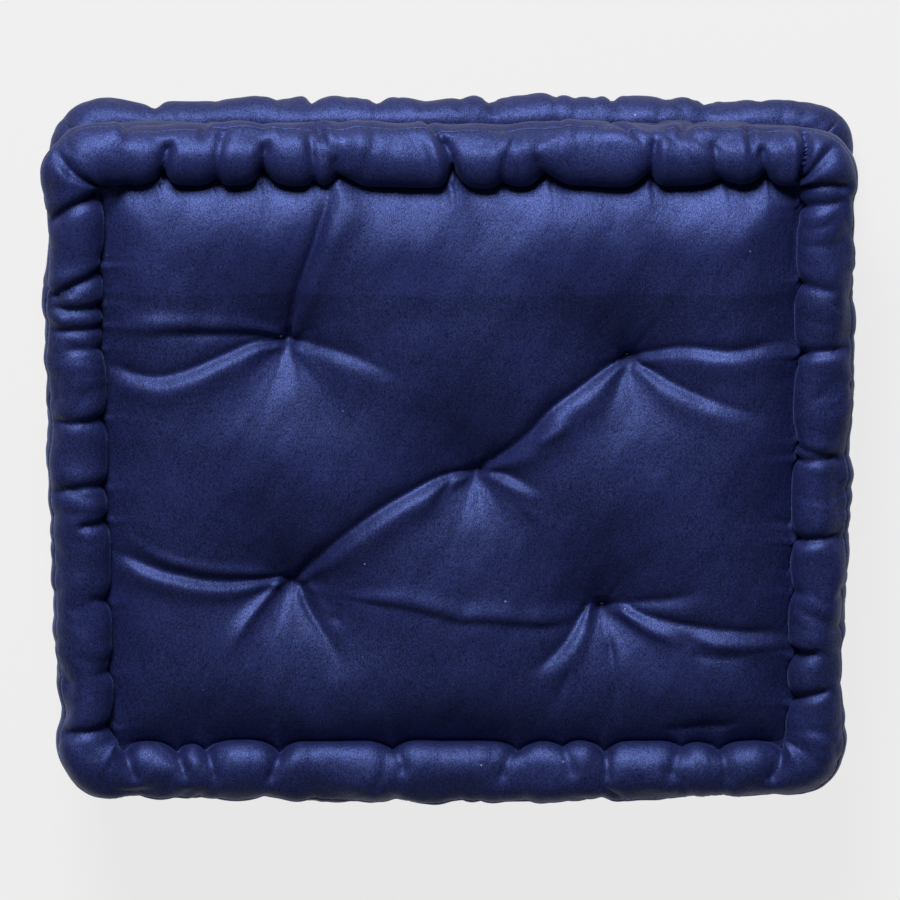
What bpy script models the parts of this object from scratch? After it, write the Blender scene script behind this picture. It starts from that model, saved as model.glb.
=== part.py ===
"""Rolled-edge floor cushion, tufted at five points, lying flat on the floor.

The cover is a velvet case: two face panels and four boxing panels, joined by an edge seam at the crest of
each rolled edge. A row of hand stitching on the face and one on the boxing pinch each roll off from the
core of stacked fibre batts, and five twine ties pull the two faces together.

Units are metres, +Z is up, and the origin is on the floor under the middle of the cushion. Two words are
used throughout: the inset of a point is its distance in from the plan outline, and its depth is its
distance below the top of the upper roll. The lower half mirrors the upper half.
"""

import math

import bmesh
import bpy
from mathutils import Vector

# Finished size of the cushion.
WIDTH = 0.450
LENGTH = 0.390
THICKNESS = 0.090
CORNER_RADIUS = 0.036
TIGHTEST_BEND = 0.0015

# Rolled edge: the outer radius of a roll, and how deep its two stitched grooves lie.
ROLL_RADIUS = 0.0145
GROOVE_DEPTH = 0.0125
GROOVE_WIDTH = 0.0024
GROOVE_OFF_ROLL = 0.0003
SEAM_ANGLE = math.radians(45)
LAST_ROLL_ANGLE = math.radians(158)

# Cover and face shape.
FABRIC = 0.0015
SHOULDER_RUN = 0.026
BOXING_INSET = 0.006
BOXING_RUN = 0.0055

# Tufting.
TUFT_DEPTH = 0.022
TUFT_RADIUS = 0.050
TUFT_FLOOR = 0.0060
TWINE_RADIUS = 0.0011
KNOT_RADIUS = 0.0042
KNOT_THICKNESS = 0.0018
TUFTS = {
    "centre": (-0.0145, 0.0055),
    "near_left": (-0.0990, -0.0600),
    "near_right": (0.0895, -0.0700),
    "far_left": (-0.0855, 0.0845),
    "far_right": (0.0895, 0.0700),
}

# Threads.
THREAD_RADIUS = 0.0006
SEAM_RADIUS = 0.0005

# Batts: the least thickness of an outer batt, which is under a tuft.
BATT_AT_TUFT = 0.005

# Clearances between neighbours.
GAP = 0.0004
SEAM_GAP = 0.00018
BATT_CLEARANCE = 0.0030

# Fineness of the faceted solids. The shoulder's lines are shares of its run.
CELL = 0.026
ROLL_STEPS = 5
ARC_STEPS = 3
ROUND_SIDES = 12
SHOULDER_LINES = (0.30, 0.65, 1.0)
SMOOTH_UNDER = math.radians(40)
ROUNDING = 1e-6

NAVY = (0.021, 0.027, 0.120, 1.0)
THREAD_NAVY = (0.012, 0.015, 0.060, 1.0)
FIBRE_WHITE = (0.80, 0.79, 0.75, 1.0)
TWINE_NAVY = (0.010, 0.012, 0.050, 1.0)


def clear_scene():
    for old in list(bpy.data.objects):
        bpy.data.objects.remove(old, do_unlink=True)


def new_collection(name):
    group = bpy.data.collections.new(name)
    bpy.context.scene.collection.children.link(group)
    return group


def finish_material(name, colour, roughness):
    """A matte Principled material, all of this object's finishes being cloth, thread or fibre."""
    material = bpy.data.materials.get(name)
    if material is None:
        material = bpy.data.materials.new(name)
        material.use_nodes = True
        shader = material.node_tree.nodes["Principled BSDF"]
        shader.inputs["Base Color"].default_value = colour
        shader.inputs["Roughness"].default_value = roughness
        shader.inputs["Metallic"].default_value = 0.0
    return material


def velvet():
    return finish_material("navy_velvet", NAVY, 0.75)


def thread():
    return finish_material("navy_thread", THREAD_NAVY, 0.6)


def fibre():
    return finish_material("white_fibre", FIBRE_WHITE, 0.95)


def twine():
    return finish_material("navy_twine", TWINE_NAVY, 0.7)


def add_object(name, data, group, material):
    part = bpy.data.objects.new(name, data)
    group.objects.link(part)
    if material is not None:
        data.materials.append(material)
    return part


def mesh_object(name, bm, group, material):
    """An object from a finished bmesh, its round parts shaded smooth."""
    mesh = bpy.data.meshes.new(name)
    bm.to_mesh(mesh)
    bm.free()
    mesh.shade_smooth()
    mesh.set_sharp_from_angle(angle=SMOOTH_UNDER)
    return add_object(name, mesh, group, material)


def face_towards(bm, outward):
    """Makes an open sheet's faces agree, with most of them looking along outward."""
    bmesh.ops.recalc_face_normals(bm, faces=bm.faces)
    if sum(face.normal.dot(outward) * face.calc_area() for face in bm.faces) < 0:
        bmesh.ops.reverse_faces(bm, faces=bm.faces)


# ---------------------------------------------------------------- plan and height of the cover


def rounded(x, y):
    """Moves a point of the square-cornered plan into the rounded one, keeping its inset.

    In each corner square, rings of equal inset become arcs about the corner's centre.
    """
    over_x = abs(x) - (WIDTH / 2 - CORNER_RADIUS)
    over_y = abs(y) - (LENGTH / 2 - CORNER_RADIUS)
    if over_x <= 0 or over_y <= 0:
        return x, y
    shrink = max(over_x, over_y) / math.hypot(over_x, over_y)
    return (
        math.copysign(WIDTH / 2 - CORNER_RADIUS + over_x * shrink, x),
        math.copysign(LENGTH / 2 - CORNER_RADIUS + over_y * shrink, y),
    )


def inset_of(x, y):
    """Inset of a point of the square-cornered plan."""
    return min(WIDTH / 2 - abs(x), LENGTH / 2 - abs(y))


def roll_point(angle):
    """(inset, depth) on the roll's surface, the angle running from straight out, over the top, inwards."""
    return ROLL_RADIUS * (1 - math.cos(angle)), ROLL_RADIUS * (1 - math.sin(angle))


def groove_start():
    """Inset of the outer edge of the stitched groove in the face."""
    return 2 * ROLL_RADIUS + GROOVE_OFF_ROLL


def groove_end():
    return groove_start() + GROOVE_WIDTH


def smooth_step(share):
    share = min(max(share, 0.0), 1.0)
    return share * share * (3 - 2 * share)


def face_profile_depth(inset):
    """Depth of the face, dimples apart: over the roll, along the groove's floor, up the shoulder."""
    if inset <= roll_point(LAST_ROLL_ANGLE)[0] + ROUNDING:
        across = max(-1.0, min(1.0, 1 - inset / ROLL_RADIUS))
        return ROLL_RADIUS * (1 - math.sqrt(1 - across * across))
    if inset <= groove_end():
        return GROOVE_DEPTH
    return GROOVE_DEPTH * (1 - smooth_step((inset - groove_end()) / SHOULDER_RUN))


def tuft_depth(x, y):
    """Depth of the dimples at a point: a flat floor round each tie, then a cosine bell."""
    floor = TUFT_FLOOR * math.sqrt(2)
    deepest = 0.0
    for centre_x, centre_y in TUFTS.values():
        away = math.hypot(x - centre_x, y - centre_y)
        share = min(max((away - floor) / (TUFT_RADIUS - floor), 0.0), 1.0)
        deepest = max(deepest, TUFT_DEPTH * 0.5 * (1 + math.cos(math.pi * share)))
    return deepest


def face_depth(x, y):
    """Depth of the upper face panel's outside, over the square-cornered plan."""
    return max(face_profile_depth(inset_of(x, y)), tuft_depth(x, y))


# ---------------------------------------------------------------- grid lines


def edge_insets():
    """Insets of the grid lines over the roll, the groove and the shoulder, from the edge seam inwards."""
    first = SEAM_ANGLE + seam_half_gap() / ROLL_RADIUS
    step = (LAST_ROLL_ANGLE - first) / ROLL_STEPS
    over_roll = [roll_point(first + step * k)[0] for k in range(ROLL_STEPS + 1)]
    return over_roll + [groove_start(), groove_end()] + shoulder_insets()


def shoulder_insets():
    """Insets of the grid lines up the shoulder, which a panel and the batt under it share."""
    return [groove_end() + SHOULDER_RUN * share for share in SHOULDER_LINES]


def rim_lean():
    """How far a panel's rim leans over its seam, because it stands square to the first facet of the roll."""
    return FABRIC * math.sin((LAST_ROLL_ANGLE - SEAM_ANGLE) / ROLL_STEPS / 2)


def seam_half_gap():
    """Half the opening between two panels, which a seam thread fills."""
    return SEAM_RADIUS + SEAM_GAP + rim_lean()


def axis_lines(half_size, insets, tuft_places):
    """Grid lines along one axis: the edge lines, the two lines of each tuft's floor, and lines to fill."""
    edge = [half_size - inset for inset in insets]
    lines = sorted(edge + [-place for place in edge])
    tied = {round(place + side, 6) for place in tuft_places for side in (-TUFT_FLOOR, TUFT_FLOOR)}
    lines = sorted(set(lines) | tied)
    filled = []
    for low, high in zip(lines, lines[1:]):
        count = max(1, math.ceil((high - low) / CELL))
        filled += [low + (high - low) * k / count for k in range(count)]
    return filled + [lines[-1]]


def plan_lines(insets):
    xs = axis_lines(WIDTH / 2, insets, [x for x, _ in TUFTS.values()])
    ys = axis_lines(LENGTH / 2, insets, [y for _, y in TUFTS.values()])
    return xs, ys


def plan_grid(xs, ys, depth):
    """A grid primitive with its lines moved to xs and ys of the square-cornered plan.

    Each vertex's z holds its depth until settle() puts it in place.
    """
    bm = bmesh.new()
    bmesh.ops.create_grid(bm, x_segments=len(xs) - 1, y_segments=len(ys) - 1, size=0.5)
    for vert in bm.verts:
        x = xs[round((vert.co.x + 0.5) * (len(xs) - 1))]
        y = ys[round((vert.co.y + 0.5) * (len(ys) - 1))]
        vert.co = Vector((x, y, depth(x, y)))
    return bm


def settle(bm):
    """Moves a plan grid's vertices from (x, y, depth) to their places, its corners rounded."""
    for vert in bm.verts:
        vert.co = Vector((*rounded(vert.co.x, vert.co.y), THICKNESS - vert.co.z))


# ---------------------------------------------------------------- modifiers


def give_thickness(part):
    """Solidify inwards from the outside of the cloth."""
    cloth = part.modifiers.new("cloth_thickness", "SOLIDIFY")
    cloth.thickness = FABRIC
    cloth.offset = -1.0


def pierce(part, cutter):
    hole = part.modifiers.new("needle_holes", "BOOLEAN")
    hole.operation = "DIFFERENCE"
    hole.solver = "EXACT"
    hole.object = cutter


def mirror_to_lower(source, name, group):
    """The lower copy of an upper piece: the same mesh turned over, before its modifiers."""
    bm = bmesh.new()
    bm.from_mesh(source.data)
    for vert in bm.verts:
        vert.co.z = THICKNESS - vert.co.z
    bmesh.ops.reverse_faces(bm, faces=bm.faces)
    return mesh_object(name, bm, group, source.data.materials[0])


# ---------------------------------------------------------------- cover


def make_face_panels(group, cutter):
    """The two face panels, each from its edge seam over the inner side of the roll and across the face."""
    bm = plan_grid(*plan_lines(edge_insets()), face_depth)
    settle(bm)
    face_towards(bm, Vector((0, 0, 1)))
    upper = mesh_object("upper_face_panel", bm, group, velvet())
    lower = mirror_to_lower(upper, "lower_face_panel", group)
    for panel in (upper, lower):
        give_thickness(panel)
        pierce(panel, cutter)


def boxing_profile():
    """(inset, depth) points of a boxing panel's outside, from the upper edge seam to the lower one."""
    first = SEAM_ANGLE - seam_half_gap() / ROLL_RADIUS
    last = math.radians(90) - LAST_ROLL_ANGLE
    step = (last - first) / ROLL_STEPS
    upper = [roll_point(first + step * k) for k in range(ROLL_STEPS + 1)]
    upper += [(GROOVE_DEPTH, groove_start()), (GROOVE_DEPTH, groove_end())]
    upper += [(BOXING_INSET, groove_end() + BOXING_RUN)]
    return upper + [(inset, THICKNESS - depth) for inset, depth in reversed(upper)]


def corner_path(inset, first_corner, trim):
    """Plan points at one inset along a side, from the middle of one corner to the middle of the next.

    Corners are counted round from the near right one. The path stops short of each corner's middle by
    the trim.
    """
    radius = max(CORNER_RADIUS - inset, TIGHTEST_BEND)
    ends = [(1, -1), (1, 1), (-1, 1), (-1, -1)]
    quarter = math.pi / 2
    points = []
    for offset, low, high in ((0, 0.5, 1.0), (1, 0.0, 0.5)):
        corner = (first_corner + offset) % 4
        centre_x = ends[corner][0] * (WIDTH / 2 - inset - radius)
        centre_y = ends[corner][1] * (LENGTH / 2 - inset - radius)
        start = (corner - 1 + low) * quarter + (trim / radius if offset == 0 else 0)
        stop = (corner - 1 + high) * quarter - (trim / radius if offset == 1 else 0)
        for k in range(ARC_STEPS + 1):
            angle = start + (stop - start) * k / ARC_STEPS
            points.append((centre_x + radius * math.cos(angle), centre_y + radius * math.sin(angle)))
    return points


def make_boxing_panel(name, first_corner, group):
    """One side of the boxing, its profile carried round from corner seam to corner seam."""
    profile = boxing_profile()
    rows = [corner_path(inset, first_corner, seam_half_gap()) for inset, _ in profile]
    columns = len(rows[0])
    bm = bmesh.new()
    bmesh.ops.create_grid(bm, x_segments=columns - 1, y_segments=len(rows) - 1, size=0.5)
    for vert in bm.verts:
        along = round((vert.co.x + 0.5) * (columns - 1))
        across = round((vert.co.y + 0.5) * (len(rows) - 1))
        vert.co = Vector((*rows[across][along], THICKNESS - profile[across][1]))
    facing = first_corner * math.pi / 2
    face_towards(bm, Vector((math.cos(facing), math.sin(facing), 0)))
    panel = mesh_object(name, bm, group, velvet())
    give_thickness(panel)


# ---------------------------------------------------------------- threads and roll stuffing


def ring_points(inset):
    """Plan points of a closed ring at one inset, all round the cushion."""
    points = []
    for corner in range(4):
        points += corner_path(inset, corner, 0.0)[:-1]
    return points


def make_tube(name, points, radius, closed, group, material):
    """A round tube along points, with filled caps where it has ends."""
    curve = bpy.data.curves.new(name, "CURVE")
    curve.dimensions = "3D"
    curve.bevel_depth = radius
    curve.bevel_resolution = 2
    curve.use_fill_caps = not closed
    spline = curve.splines.new("POLY")
    spline.points.add(len(points) - 1)
    for target, point in zip(spline.points, points):
        target.co = (*point, 1.0)
    spline.use_cyclic_u = closed
    return add_object(name, curve, group, material)


def make_ring(name, inset, depth, radius, group, material):
    points = [(x, y, THICKNESS - depth) for x, y in ring_points(inset)]
    return make_tube(name, points, radius, True, group, material)


def make_roll_stuffings(group):
    """The fibre that fills each rolled edge, one ring above and one below."""
    radius = roll_stuffing_radius()
    make_ring("upper_roll_stuffing", ROLL_RADIUS, ROLL_RADIUS, radius, group, fibre())
    make_ring("lower_roll_stuffing", ROLL_RADIUS, THICKNESS - ROLL_RADIUS, radius, group, fibre())


def roll_stuffing_radius():
    return ROLL_RADIUS - FABRIC - 2 * GAP


def make_roll_stitching(group):
    """The hand stitching along each roll: one run in the face's groove and one in the boxing's."""
    middle = (groove_start() + groove_end()) / 2
    on_floor = GROOVE_DEPTH - GAP - THREAD_RADIUS
    for side, turned in (("upper", False), ("lower", True)):
        for place, inset, depth in (("face", middle, on_floor), ("boxing", on_floor, middle)):
            depth = THICKNESS - depth if turned else depth
            make_ring(f"{side}_roll_stitching_{place}", inset, depth, THREAD_RADIUS, group, thread())


def make_edge_seams(group):
    """The machine seam at each roll's crest, where a face panel meets the boxing."""
    radius = ROLL_RADIUS - FABRIC / 2
    inset = ROLL_RADIUS - radius * math.cos(SEAM_ANGLE)
    depth = ROLL_RADIUS - radius * math.sin(SEAM_ANGLE)
    make_ring("upper_edge_seam", inset, depth, SEAM_RADIUS, group, thread())
    make_ring("lower_edge_seam", inset, THICKNESS - depth, SEAM_RADIUS, group, thread())


def inward(profile, distance):
    """The profile moved towards the inside of the cushion, at right angles to itself."""
    moved = []
    for index, (inset, depth) in enumerate(profile):
        before = profile[max(index - 1, 0)]
        after = profile[min(index + 1, len(profile) - 1)]
        along = Vector((after[0] - before[0], after[1] - before[1])).normalized()
        moved.append((inset + along.y * distance, depth - along.x * distance))
    return moved


def make_corner_seams(group):
    """The four upright seams that join the boxing panels, each along the boxing's own profile."""
    names = ("near_right", "far_right", "far_left", "near_left")
    profile = inward(boxing_profile(), FABRIC / 2)[1:-1]
    for corner, name in enumerate(names):
        points = []
        for inset, depth in profile:
            x, y = corner_path(inset, corner, 0.0)[0]
            points.append((x, y, THICKNESS - depth))
        make_tube(f"corner_seam_{name}", points, SEAM_RADIUS, False, group, thread())


# ---------------------------------------------------------------- batts


def batt_inset(depth):
    """Inset of an outer batt's side at a depth, where it is chamfered to pass inside the roll."""
    clear_of_roll = math.sqrt(2) * (roll_stuffing_radius() + 2 * GAP)
    return 2 * ROLL_RADIUS + clear_of_roll - depth


def outer_batt_bottom():
    """Depth of the joint between the upper batt and the middle one."""
    return TUFT_DEPTH + BATT_CLEARANCE + BATT_AT_TUFT


def carry_rim_down(bm, top_inset, side_steps):
    """Extrudes the grid's rim through (inset, depth) steps, then closes the underside."""
    rim = [edge for edge in bm.edges if edge.is_boundary]
    for inset, depth in side_steps:
        made = bmesh.ops.extrude_edge_only(bm, edges=rim)["geom"]
        rim = [item for item in made if isinstance(item, bmesh.types.BMEdge)]
        grow_x = (WIDTH / 2 - inset) / (WIDTH / 2 - top_inset)
        grow_y = (LENGTH / 2 - inset) / (LENGTH / 2 - top_inset)
        for vert in [item for item in made if isinstance(item, bmesh.types.BMVert)]:
            vert.co = Vector((vert.co.x * grow_x, vert.co.y * grow_y, depth))
        top_inset = inset
    bmesh.ops.holes_fill(bm, edges=rim, sides=0)


def make_batt(name, top_inset, top_depth, side_steps, group, cutter):
    """A closed fibre pad: a grid for its top, its rim carried down the side, and a flat underside."""
    insets = [top_inset] + [inset for inset in shoulder_insets() if inset > top_inset + GAP]
    bm = plan_grid(*plan_lines(insets), top_depth)
    carry_rim_down(bm, top_inset, side_steps)
    settle(bm)
    bmesh.ops.recalc_face_normals(bm, faces=bm.faces)
    batt = mesh_object(name, bm, group, fibre())
    pierce(batt, cutter)
    return batt


def make_batts(group, cutter):
    """The core of the cushion: a middle batt between two that follow the dimpled faces."""
    joint = outer_batt_bottom()
    rim_depth = GROOVE_DEPTH + BATT_CLEARANCE
    upper = make_batt(
        "upper_batt",
        batt_inset(rim_depth),
        lambda x, y: face_depth(x, y) + BATT_CLEARANCE,
        [(batt_inset(joint), joint)],
        group,
        cutter,
    )
    lower = mirror_to_lower(upper, "lower_batt", group)
    pierce(lower, cutter)
    side = BOXING_INSET + FABRIC + BATT_CLEARANCE
    top = joint + GAP
    make_batt(
        "middle_batt",
        batt_inset(joint),
        lambda x, y: top,
        [(side, THICKNESS / 2), (batt_inset(joint), THICKNESS - top)],
        group,
        cutter,
    )


# ---------------------------------------------------------------- tuft ties


def make_needle_cutter(group):
    """Five rods that open the needle holes through the panels and batts."""
    bm = bmesh.new()
    for x, y in TUFTS.values():
        made = bmesh.ops.create_cone(
            bm,
            cap_ends=True,
            segments=ROUND_SIDES,
            radius1=TWINE_RADIUS + GAP,
            radius2=TWINE_RADIUS + GAP,
            depth=2 * THICKNESS,
        )
        bmesh.ops.translate(bm, verts=made["verts"], vec=(x, y, THICKNESS / 2))
    cutter = mesh_object("needle_cutter", bm, group, None)
    cutter.hide_render = True
    cutter.display_type = "WIRE"
    return cutter


def make_tuft_tie(place, x, y, group):
    """A twine through the whole cushion with a flat knot in each dimple, turned about its own axis."""
    under = THICKNESS - TUFT_DEPTH + GAP
    over = under + KNOT_THICKNESS
    upper = [
        (0.0, over),
        (KNOT_RADIUS * 0.6, over),
        (KNOT_RADIUS, (over + under) / 2),
        (KNOT_RADIUS * 0.8, under),
        (TWINE_RADIUS, under),
    ]
    profile = upper + [(radius, THICKNESS - height) for radius, height in reversed(upper)]
    bm = bmesh.new()
    verts = [bm.verts.new((radius, 0.0, height)) for radius, height in profile]
    for first, second in zip(verts, verts[1:]):
        bm.edges.new((first, second))
    mesh = bpy.data.meshes.new(f"tuft_tie_{place}")
    bm.to_mesh(mesh)
    bm.free()
    tie = add_object(f"tuft_tie_{place}", mesh, group, twine())
    tie.location = (x, y, 0.0)
    turned = tie.modifiers.new("turned", "SCREW")
    turned.axis = "Z"
    turned.angle = math.tau
    turned.steps = ROUND_SIDES
    turned.render_steps = ROUND_SIDES
    turned.use_merge_vertices = True
    turned.merge_threshold = 0.00005


def main():
    clear_scene()
    cushion = new_collection("rolled_edge_floor_cushion")
    cutter = make_needle_cutter(new_collection("cutters"))
    make_face_panels(cushion, cutter)
    for first_corner, side in enumerate(("right", "far", "left", "near")):
        make_boxing_panel(f"{side}_boxing_panel", first_corner, cushion)
    make_roll_stuffings(cushion)
    make_roll_stitching(cushion)
    make_edge_seams(cushion)
    make_corner_seams(cushion)
    make_batts(cushion, cutter)
    for place, (x, y) in TUFTS.items():
        make_tuft_tie(place, x, y, cushion)


main()
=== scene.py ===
"""Looks of a rolled-edge, tufted velvet floor cushion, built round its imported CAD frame.

The cover is one closed surface worked out on grids: a ring of columns round the cushion for the rolled
edges and the boxing, and a patch of rows and columns for each tufted face. It is then cut along its seams
into the panels that a sewer would handle. Lengths are in metres, and +Z is up.
"""

import logging
import math
from dataclasses import dataclass, field, replace
from enum import Enum

import bpy
import numpy as np
from mathutils import Matrix, Vector


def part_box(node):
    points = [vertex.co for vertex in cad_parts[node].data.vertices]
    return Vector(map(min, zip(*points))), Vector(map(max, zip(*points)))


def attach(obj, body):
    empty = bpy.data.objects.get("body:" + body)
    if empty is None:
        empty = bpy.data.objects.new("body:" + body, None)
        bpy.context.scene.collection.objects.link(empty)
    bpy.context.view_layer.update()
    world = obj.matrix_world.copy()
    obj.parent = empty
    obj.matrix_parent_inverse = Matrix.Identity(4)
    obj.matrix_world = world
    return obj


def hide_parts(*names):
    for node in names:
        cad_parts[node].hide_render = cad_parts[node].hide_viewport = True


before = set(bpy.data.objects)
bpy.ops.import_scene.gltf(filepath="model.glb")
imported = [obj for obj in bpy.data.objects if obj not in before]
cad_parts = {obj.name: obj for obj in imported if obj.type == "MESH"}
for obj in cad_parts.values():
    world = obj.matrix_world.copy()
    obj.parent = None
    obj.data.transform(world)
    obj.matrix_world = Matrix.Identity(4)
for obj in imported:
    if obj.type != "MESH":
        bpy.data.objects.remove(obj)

LOG = logging.getLogger("cushion")
BODY = "root"
MM = 0.001
CELL = 1.6 * MM          # distance between the cover's grid lines
BATT_INSET = 4.5 * MM    # how far the middle batt stays inside the boxing


class Side(Enum):
    """A side of the cushion, in order round it from its near right corner."""

    RIGHT = 0
    FAR = 1
    LEFT = 2
    NEAR = 3


class Face(Enum):
    """One of the cushion's two tufted faces. The value is the sign of its outward Z."""

    UPPER = 1
    LOWER = -1


@dataclass(frozen=True)
class CushionSizes:
    """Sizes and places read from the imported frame.

    An inset is a distance in from the plan outline, and a depth is a distance below the top.
    """

    width: float
    length: float
    thickness: float
    roll_radius: float
    groove_inset: float
    boxing_inset: float
    tufts: dict
    tie_depth: float
    corner_radius: float = 0.036

    @classmethod
    def from_frame(cls) -> "CushionSizes":
        """Reads the sizes off the boxes of the CAD nodes.

        Returns:
            The cushion's sizes.
        """
        boxes = [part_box(name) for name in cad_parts]
        low = Vector([min(box[0][k] for box in boxes) for k in range(3)])
        high = Vector([max(box[1][k] for box in boxes) for k in range(3)])
        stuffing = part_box("upper_roll_stuffing")
        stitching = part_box("upper_roll_stitching_face")
        tufts = {}
        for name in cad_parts:
            if name.startswith("tuft_tie_"):
                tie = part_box(name)
                tufts[name.removeprefix("tuft_tie_")] = tuple((tie[0][k] + tie[1][k]) / 2 for k in (0, 1))
        return cls(
            width=high.x - low.x,
            length=high.y - low.y,
            thickness=high.z - low.z,
            roll_radius=high.z - (stuffing[0].z + stuffing[1].z) / 2,
            groove_inset=high.x - stitching[1].x + (stitching[1].z - stitching[0].z) / 2,
            boxing_inset=high.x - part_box("middle_batt")[1].x - BATT_INSET,
            tufts=tufts,
            tie_depth=high.z - tie[1].z,
        )


# ---------------------------------------------------------------- small numeric helpers


def smooth(share: np.ndarray) -> np.ndarray:
    """The cubic 3s^2 - 2s^3 of a share clipped to 0..1."""
    share = np.clip(share, 0.0, 1.0)
    return share * share * (3 - 2 * share)


def bell(distance: np.ndarray, width: float) -> np.ndarray:
    """A Gaussian of the distance, falling to 1/e at one width."""
    return np.exp(-((distance / width) ** 2))


def crest(distance: np.ndarray, width: float, softness: float = 0.6 * MM) -> np.ndarray:
    """A sharp fall from 1: the exponential of minus the distance, its tip rounded off."""
    return np.exp(-(np.sqrt(distance**2 + softness**2) - softness) / width)


def unit(vectors: np.ndarray) -> np.ndarray:
    """Vectors brought to length 1."""
    return vectors / np.maximum(np.linalg.norm(vectors, axis=-1), 1e-12)[..., None]


def waves(x: np.ndarray, y: np.ndarray, length: float, seed: int, count: int = 14) -> np.ndarray:
    """Smooth unevenness: a sum of sine waves of random direction, phase and nearby wavelengths.

    Args:
        x: First coordinate of each point.
        y: Second coordinate of each point.
        length: The typical wavelength.
        seed: Seed of the random directions.
        count: Number of waves.

    Returns:
        Values of about -1 to 1, one for each point.
    """
    random = np.random.default_rng(seed)
    total = np.zeros(np.broadcast(x, y).shape)
    for _ in range(count):
        turn = random.uniform(0, math.tau)
        rate = math.tau / (length * random.uniform(0.7, 1.6))
        total += np.sin((x * math.cos(turn) + y * math.sin(turn)) * rate + random.uniform(0, math.tau))
    return total / math.sqrt(count)


def curve_through(points: np.ndarray, steps: int = 10) -> np.ndarray:
    """Points of a Catmull-Rom curve through the given ones.

    Args:
        points: Control points, one in each row.
        steps: Number of points for each stretch between two control points.

    Returns:
        Points of the curve, one in each row.
    """
    ends = np.vstack([2 * points[0] - points[1], points, 2 * points[-1] - points[-2]])
    share = np.linspace(0, 1, steps, endpoint=False)[:, None]
    parts = []
    for a, b, c, d in zip(ends, ends[1:], ends[2:], ends[3:]):
        bend = (2 * a - 5 * b + 4 * c - d) * share**2 + (3 * b - a - 3 * c + d) * share**3
        parts.append(0.5 * (2 * b + (c - a) * share + bend))
    return np.vstack([*parts, points[-1:]])


# ---------------------------------------------------------------- folds in the cloth


@dataclass(frozen=True)
class Fold:
    """A crease or ridge along a curve on the cloth, in millimetres.

    Attributes:
        path: Points of the curve.
        valley: Depth of the sharp crease along the curve.
        width: How far to each side the crease falls off.
        ridge: Height of the roll of cloth beside the crease.
        offset: How far to the left of the curve that ridge lies, seen along it.
        ridge_width: Half width of the ridge.
        step: How much higher the cloth stands on the curve's left than on its right.
        starts: Share of the length over which the fold grows from nothing.
        ends: Share of the length over which it dies away.
        spread: How much wider the fold is at its far end, or in its middle if it dies away at neither.
    """

    path: tuple
    valley: float = 0.0
    width: float = 3.0
    ridge: float = 0.0
    offset: float = 0.0
    ridge_width: float = 4.0
    step: float = 0.0
    starts: float = 0.05
    ends: float = 0.6
    spread: float = 0.0

    def varied(self, path: tuple, size: float, soft: float, random: np.random.Generator) -> "Fold":
        """A fold of this kind along another path, with its ridge and its step on sides drawn at random.

        Args:
            path: Points of its curve.
            size: How many times as deep it is.
            soft: How many times as wide. Its ridge and step are as many times lower, twice over.
            random: Draws the side of the ridge, and then of the step.

        Returns:
            The fold.
        """
        return replace(
            self,
            path=path,
            valley=self.valley * size,
            width=self.width * soft,
            ridge=self.ridge * size / soft**2,
            offset=random.choice([-1, 1]) * self.offset * soft,
            ridge_width=self.ridge_width * soft,
            step=random.choice([-1, 1]) * self.step * size / soft**2,
        )

    def height(self, x: np.ndarray, y: np.ndarray) -> np.ndarray:
        """Height that the fold adds at points of the cloth.

        A point's distance d is measured to the nearest place on the curve, is positive on its left, and is
        divided by the fold's scale there, which grows from 0.4 to 1 away from its first end, or from both
        ends if it dies away at neither, and by its spread. The height is the sum of a sharp valley
        exp(-|d|/width), a ridge exp(-((d-offset)/ridge_width)^2), 1.7 times as wide on the side away from
        the curve, and a step tanh(d/(0.35 width))/2 exp(-|d|/(2 width)), times the taper along the curve.

        Args:
            x: First coordinates of the points, in metres.
            y: Second coordinates of the points, in metres.

        Returns:
            Heights in metres, in the shape of x.
        """
        line = curve_through(np.array(self.path, float) * MM)
        reach = (7 * self.width + abs(self.offset) + 5 * self.ridge_width) * (1 + self.spread) * MM
        low, high = line.min(0) - reach, line.max(0) + reach
        near = (x > low[0]) & (x < high[0]) & (y > low[1]) & (y < high[1])
        result = np.zeros(x.shape)
        if not near.any():
            return result
        px, py = x[near], y[near]
        starts, spans = line[:-1], np.diff(line, axis=0)
        lengths = np.linalg.norm(spans, axis=1)
        travelled = np.concatenate([[0.0], np.cumsum(lengths)])
        best = np.full(px.shape, np.inf)
        signed, share = np.zeros(px.shape), np.zeros(px.shape)
        for start, span, length, before in zip(starts, spans, lengths, travelled):
            dx, dy = px - start[0], py - start[1]
            along = np.clip((dx * span[0] + dy * span[1]) / length**2, 0, 1)
            distance = np.hypot(dx - along * span[0], dy - along * span[1])
            closer = distance < best
            side = np.sign(span[0] * dy - span[1] * dx)
            best = np.where(closer, distance, best)
            signed = np.where(closer, distance * side, signed)
            share = np.where(closer, (before + along * length) / travelled[-1], share)
        taper = smooth(share / self.starts) * smooth((1 - share) / self.ends)
        between = self.ends < 0.15
        widening = 4 * share * (1 - share) if between else share
        from_end = np.minimum(share, 1 - share) if between else share
        scale = (0.4 + 0.6 * smooth(from_end / 0.3)) * (1 + self.spread * widening)
        best, signed = best / scale, signed / scale
        width = self.width * MM
        beyond = (signed - self.offset * MM) * (-1 if self.offset < 0 else 1)
        wider = np.where(beyond > 0, 1.7 if self.offset else 1.0, 1.0)
        shape = self.ridge * bell(beyond, wider * self.ridge_width * MM) - self.valley * crest(best, width)
        shape += 0.5 * self.step * np.tanh(signed / (0.35 * width)) * crest(best, 2 * width)
        result[near] = shape * taper * MM
        return result


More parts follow.
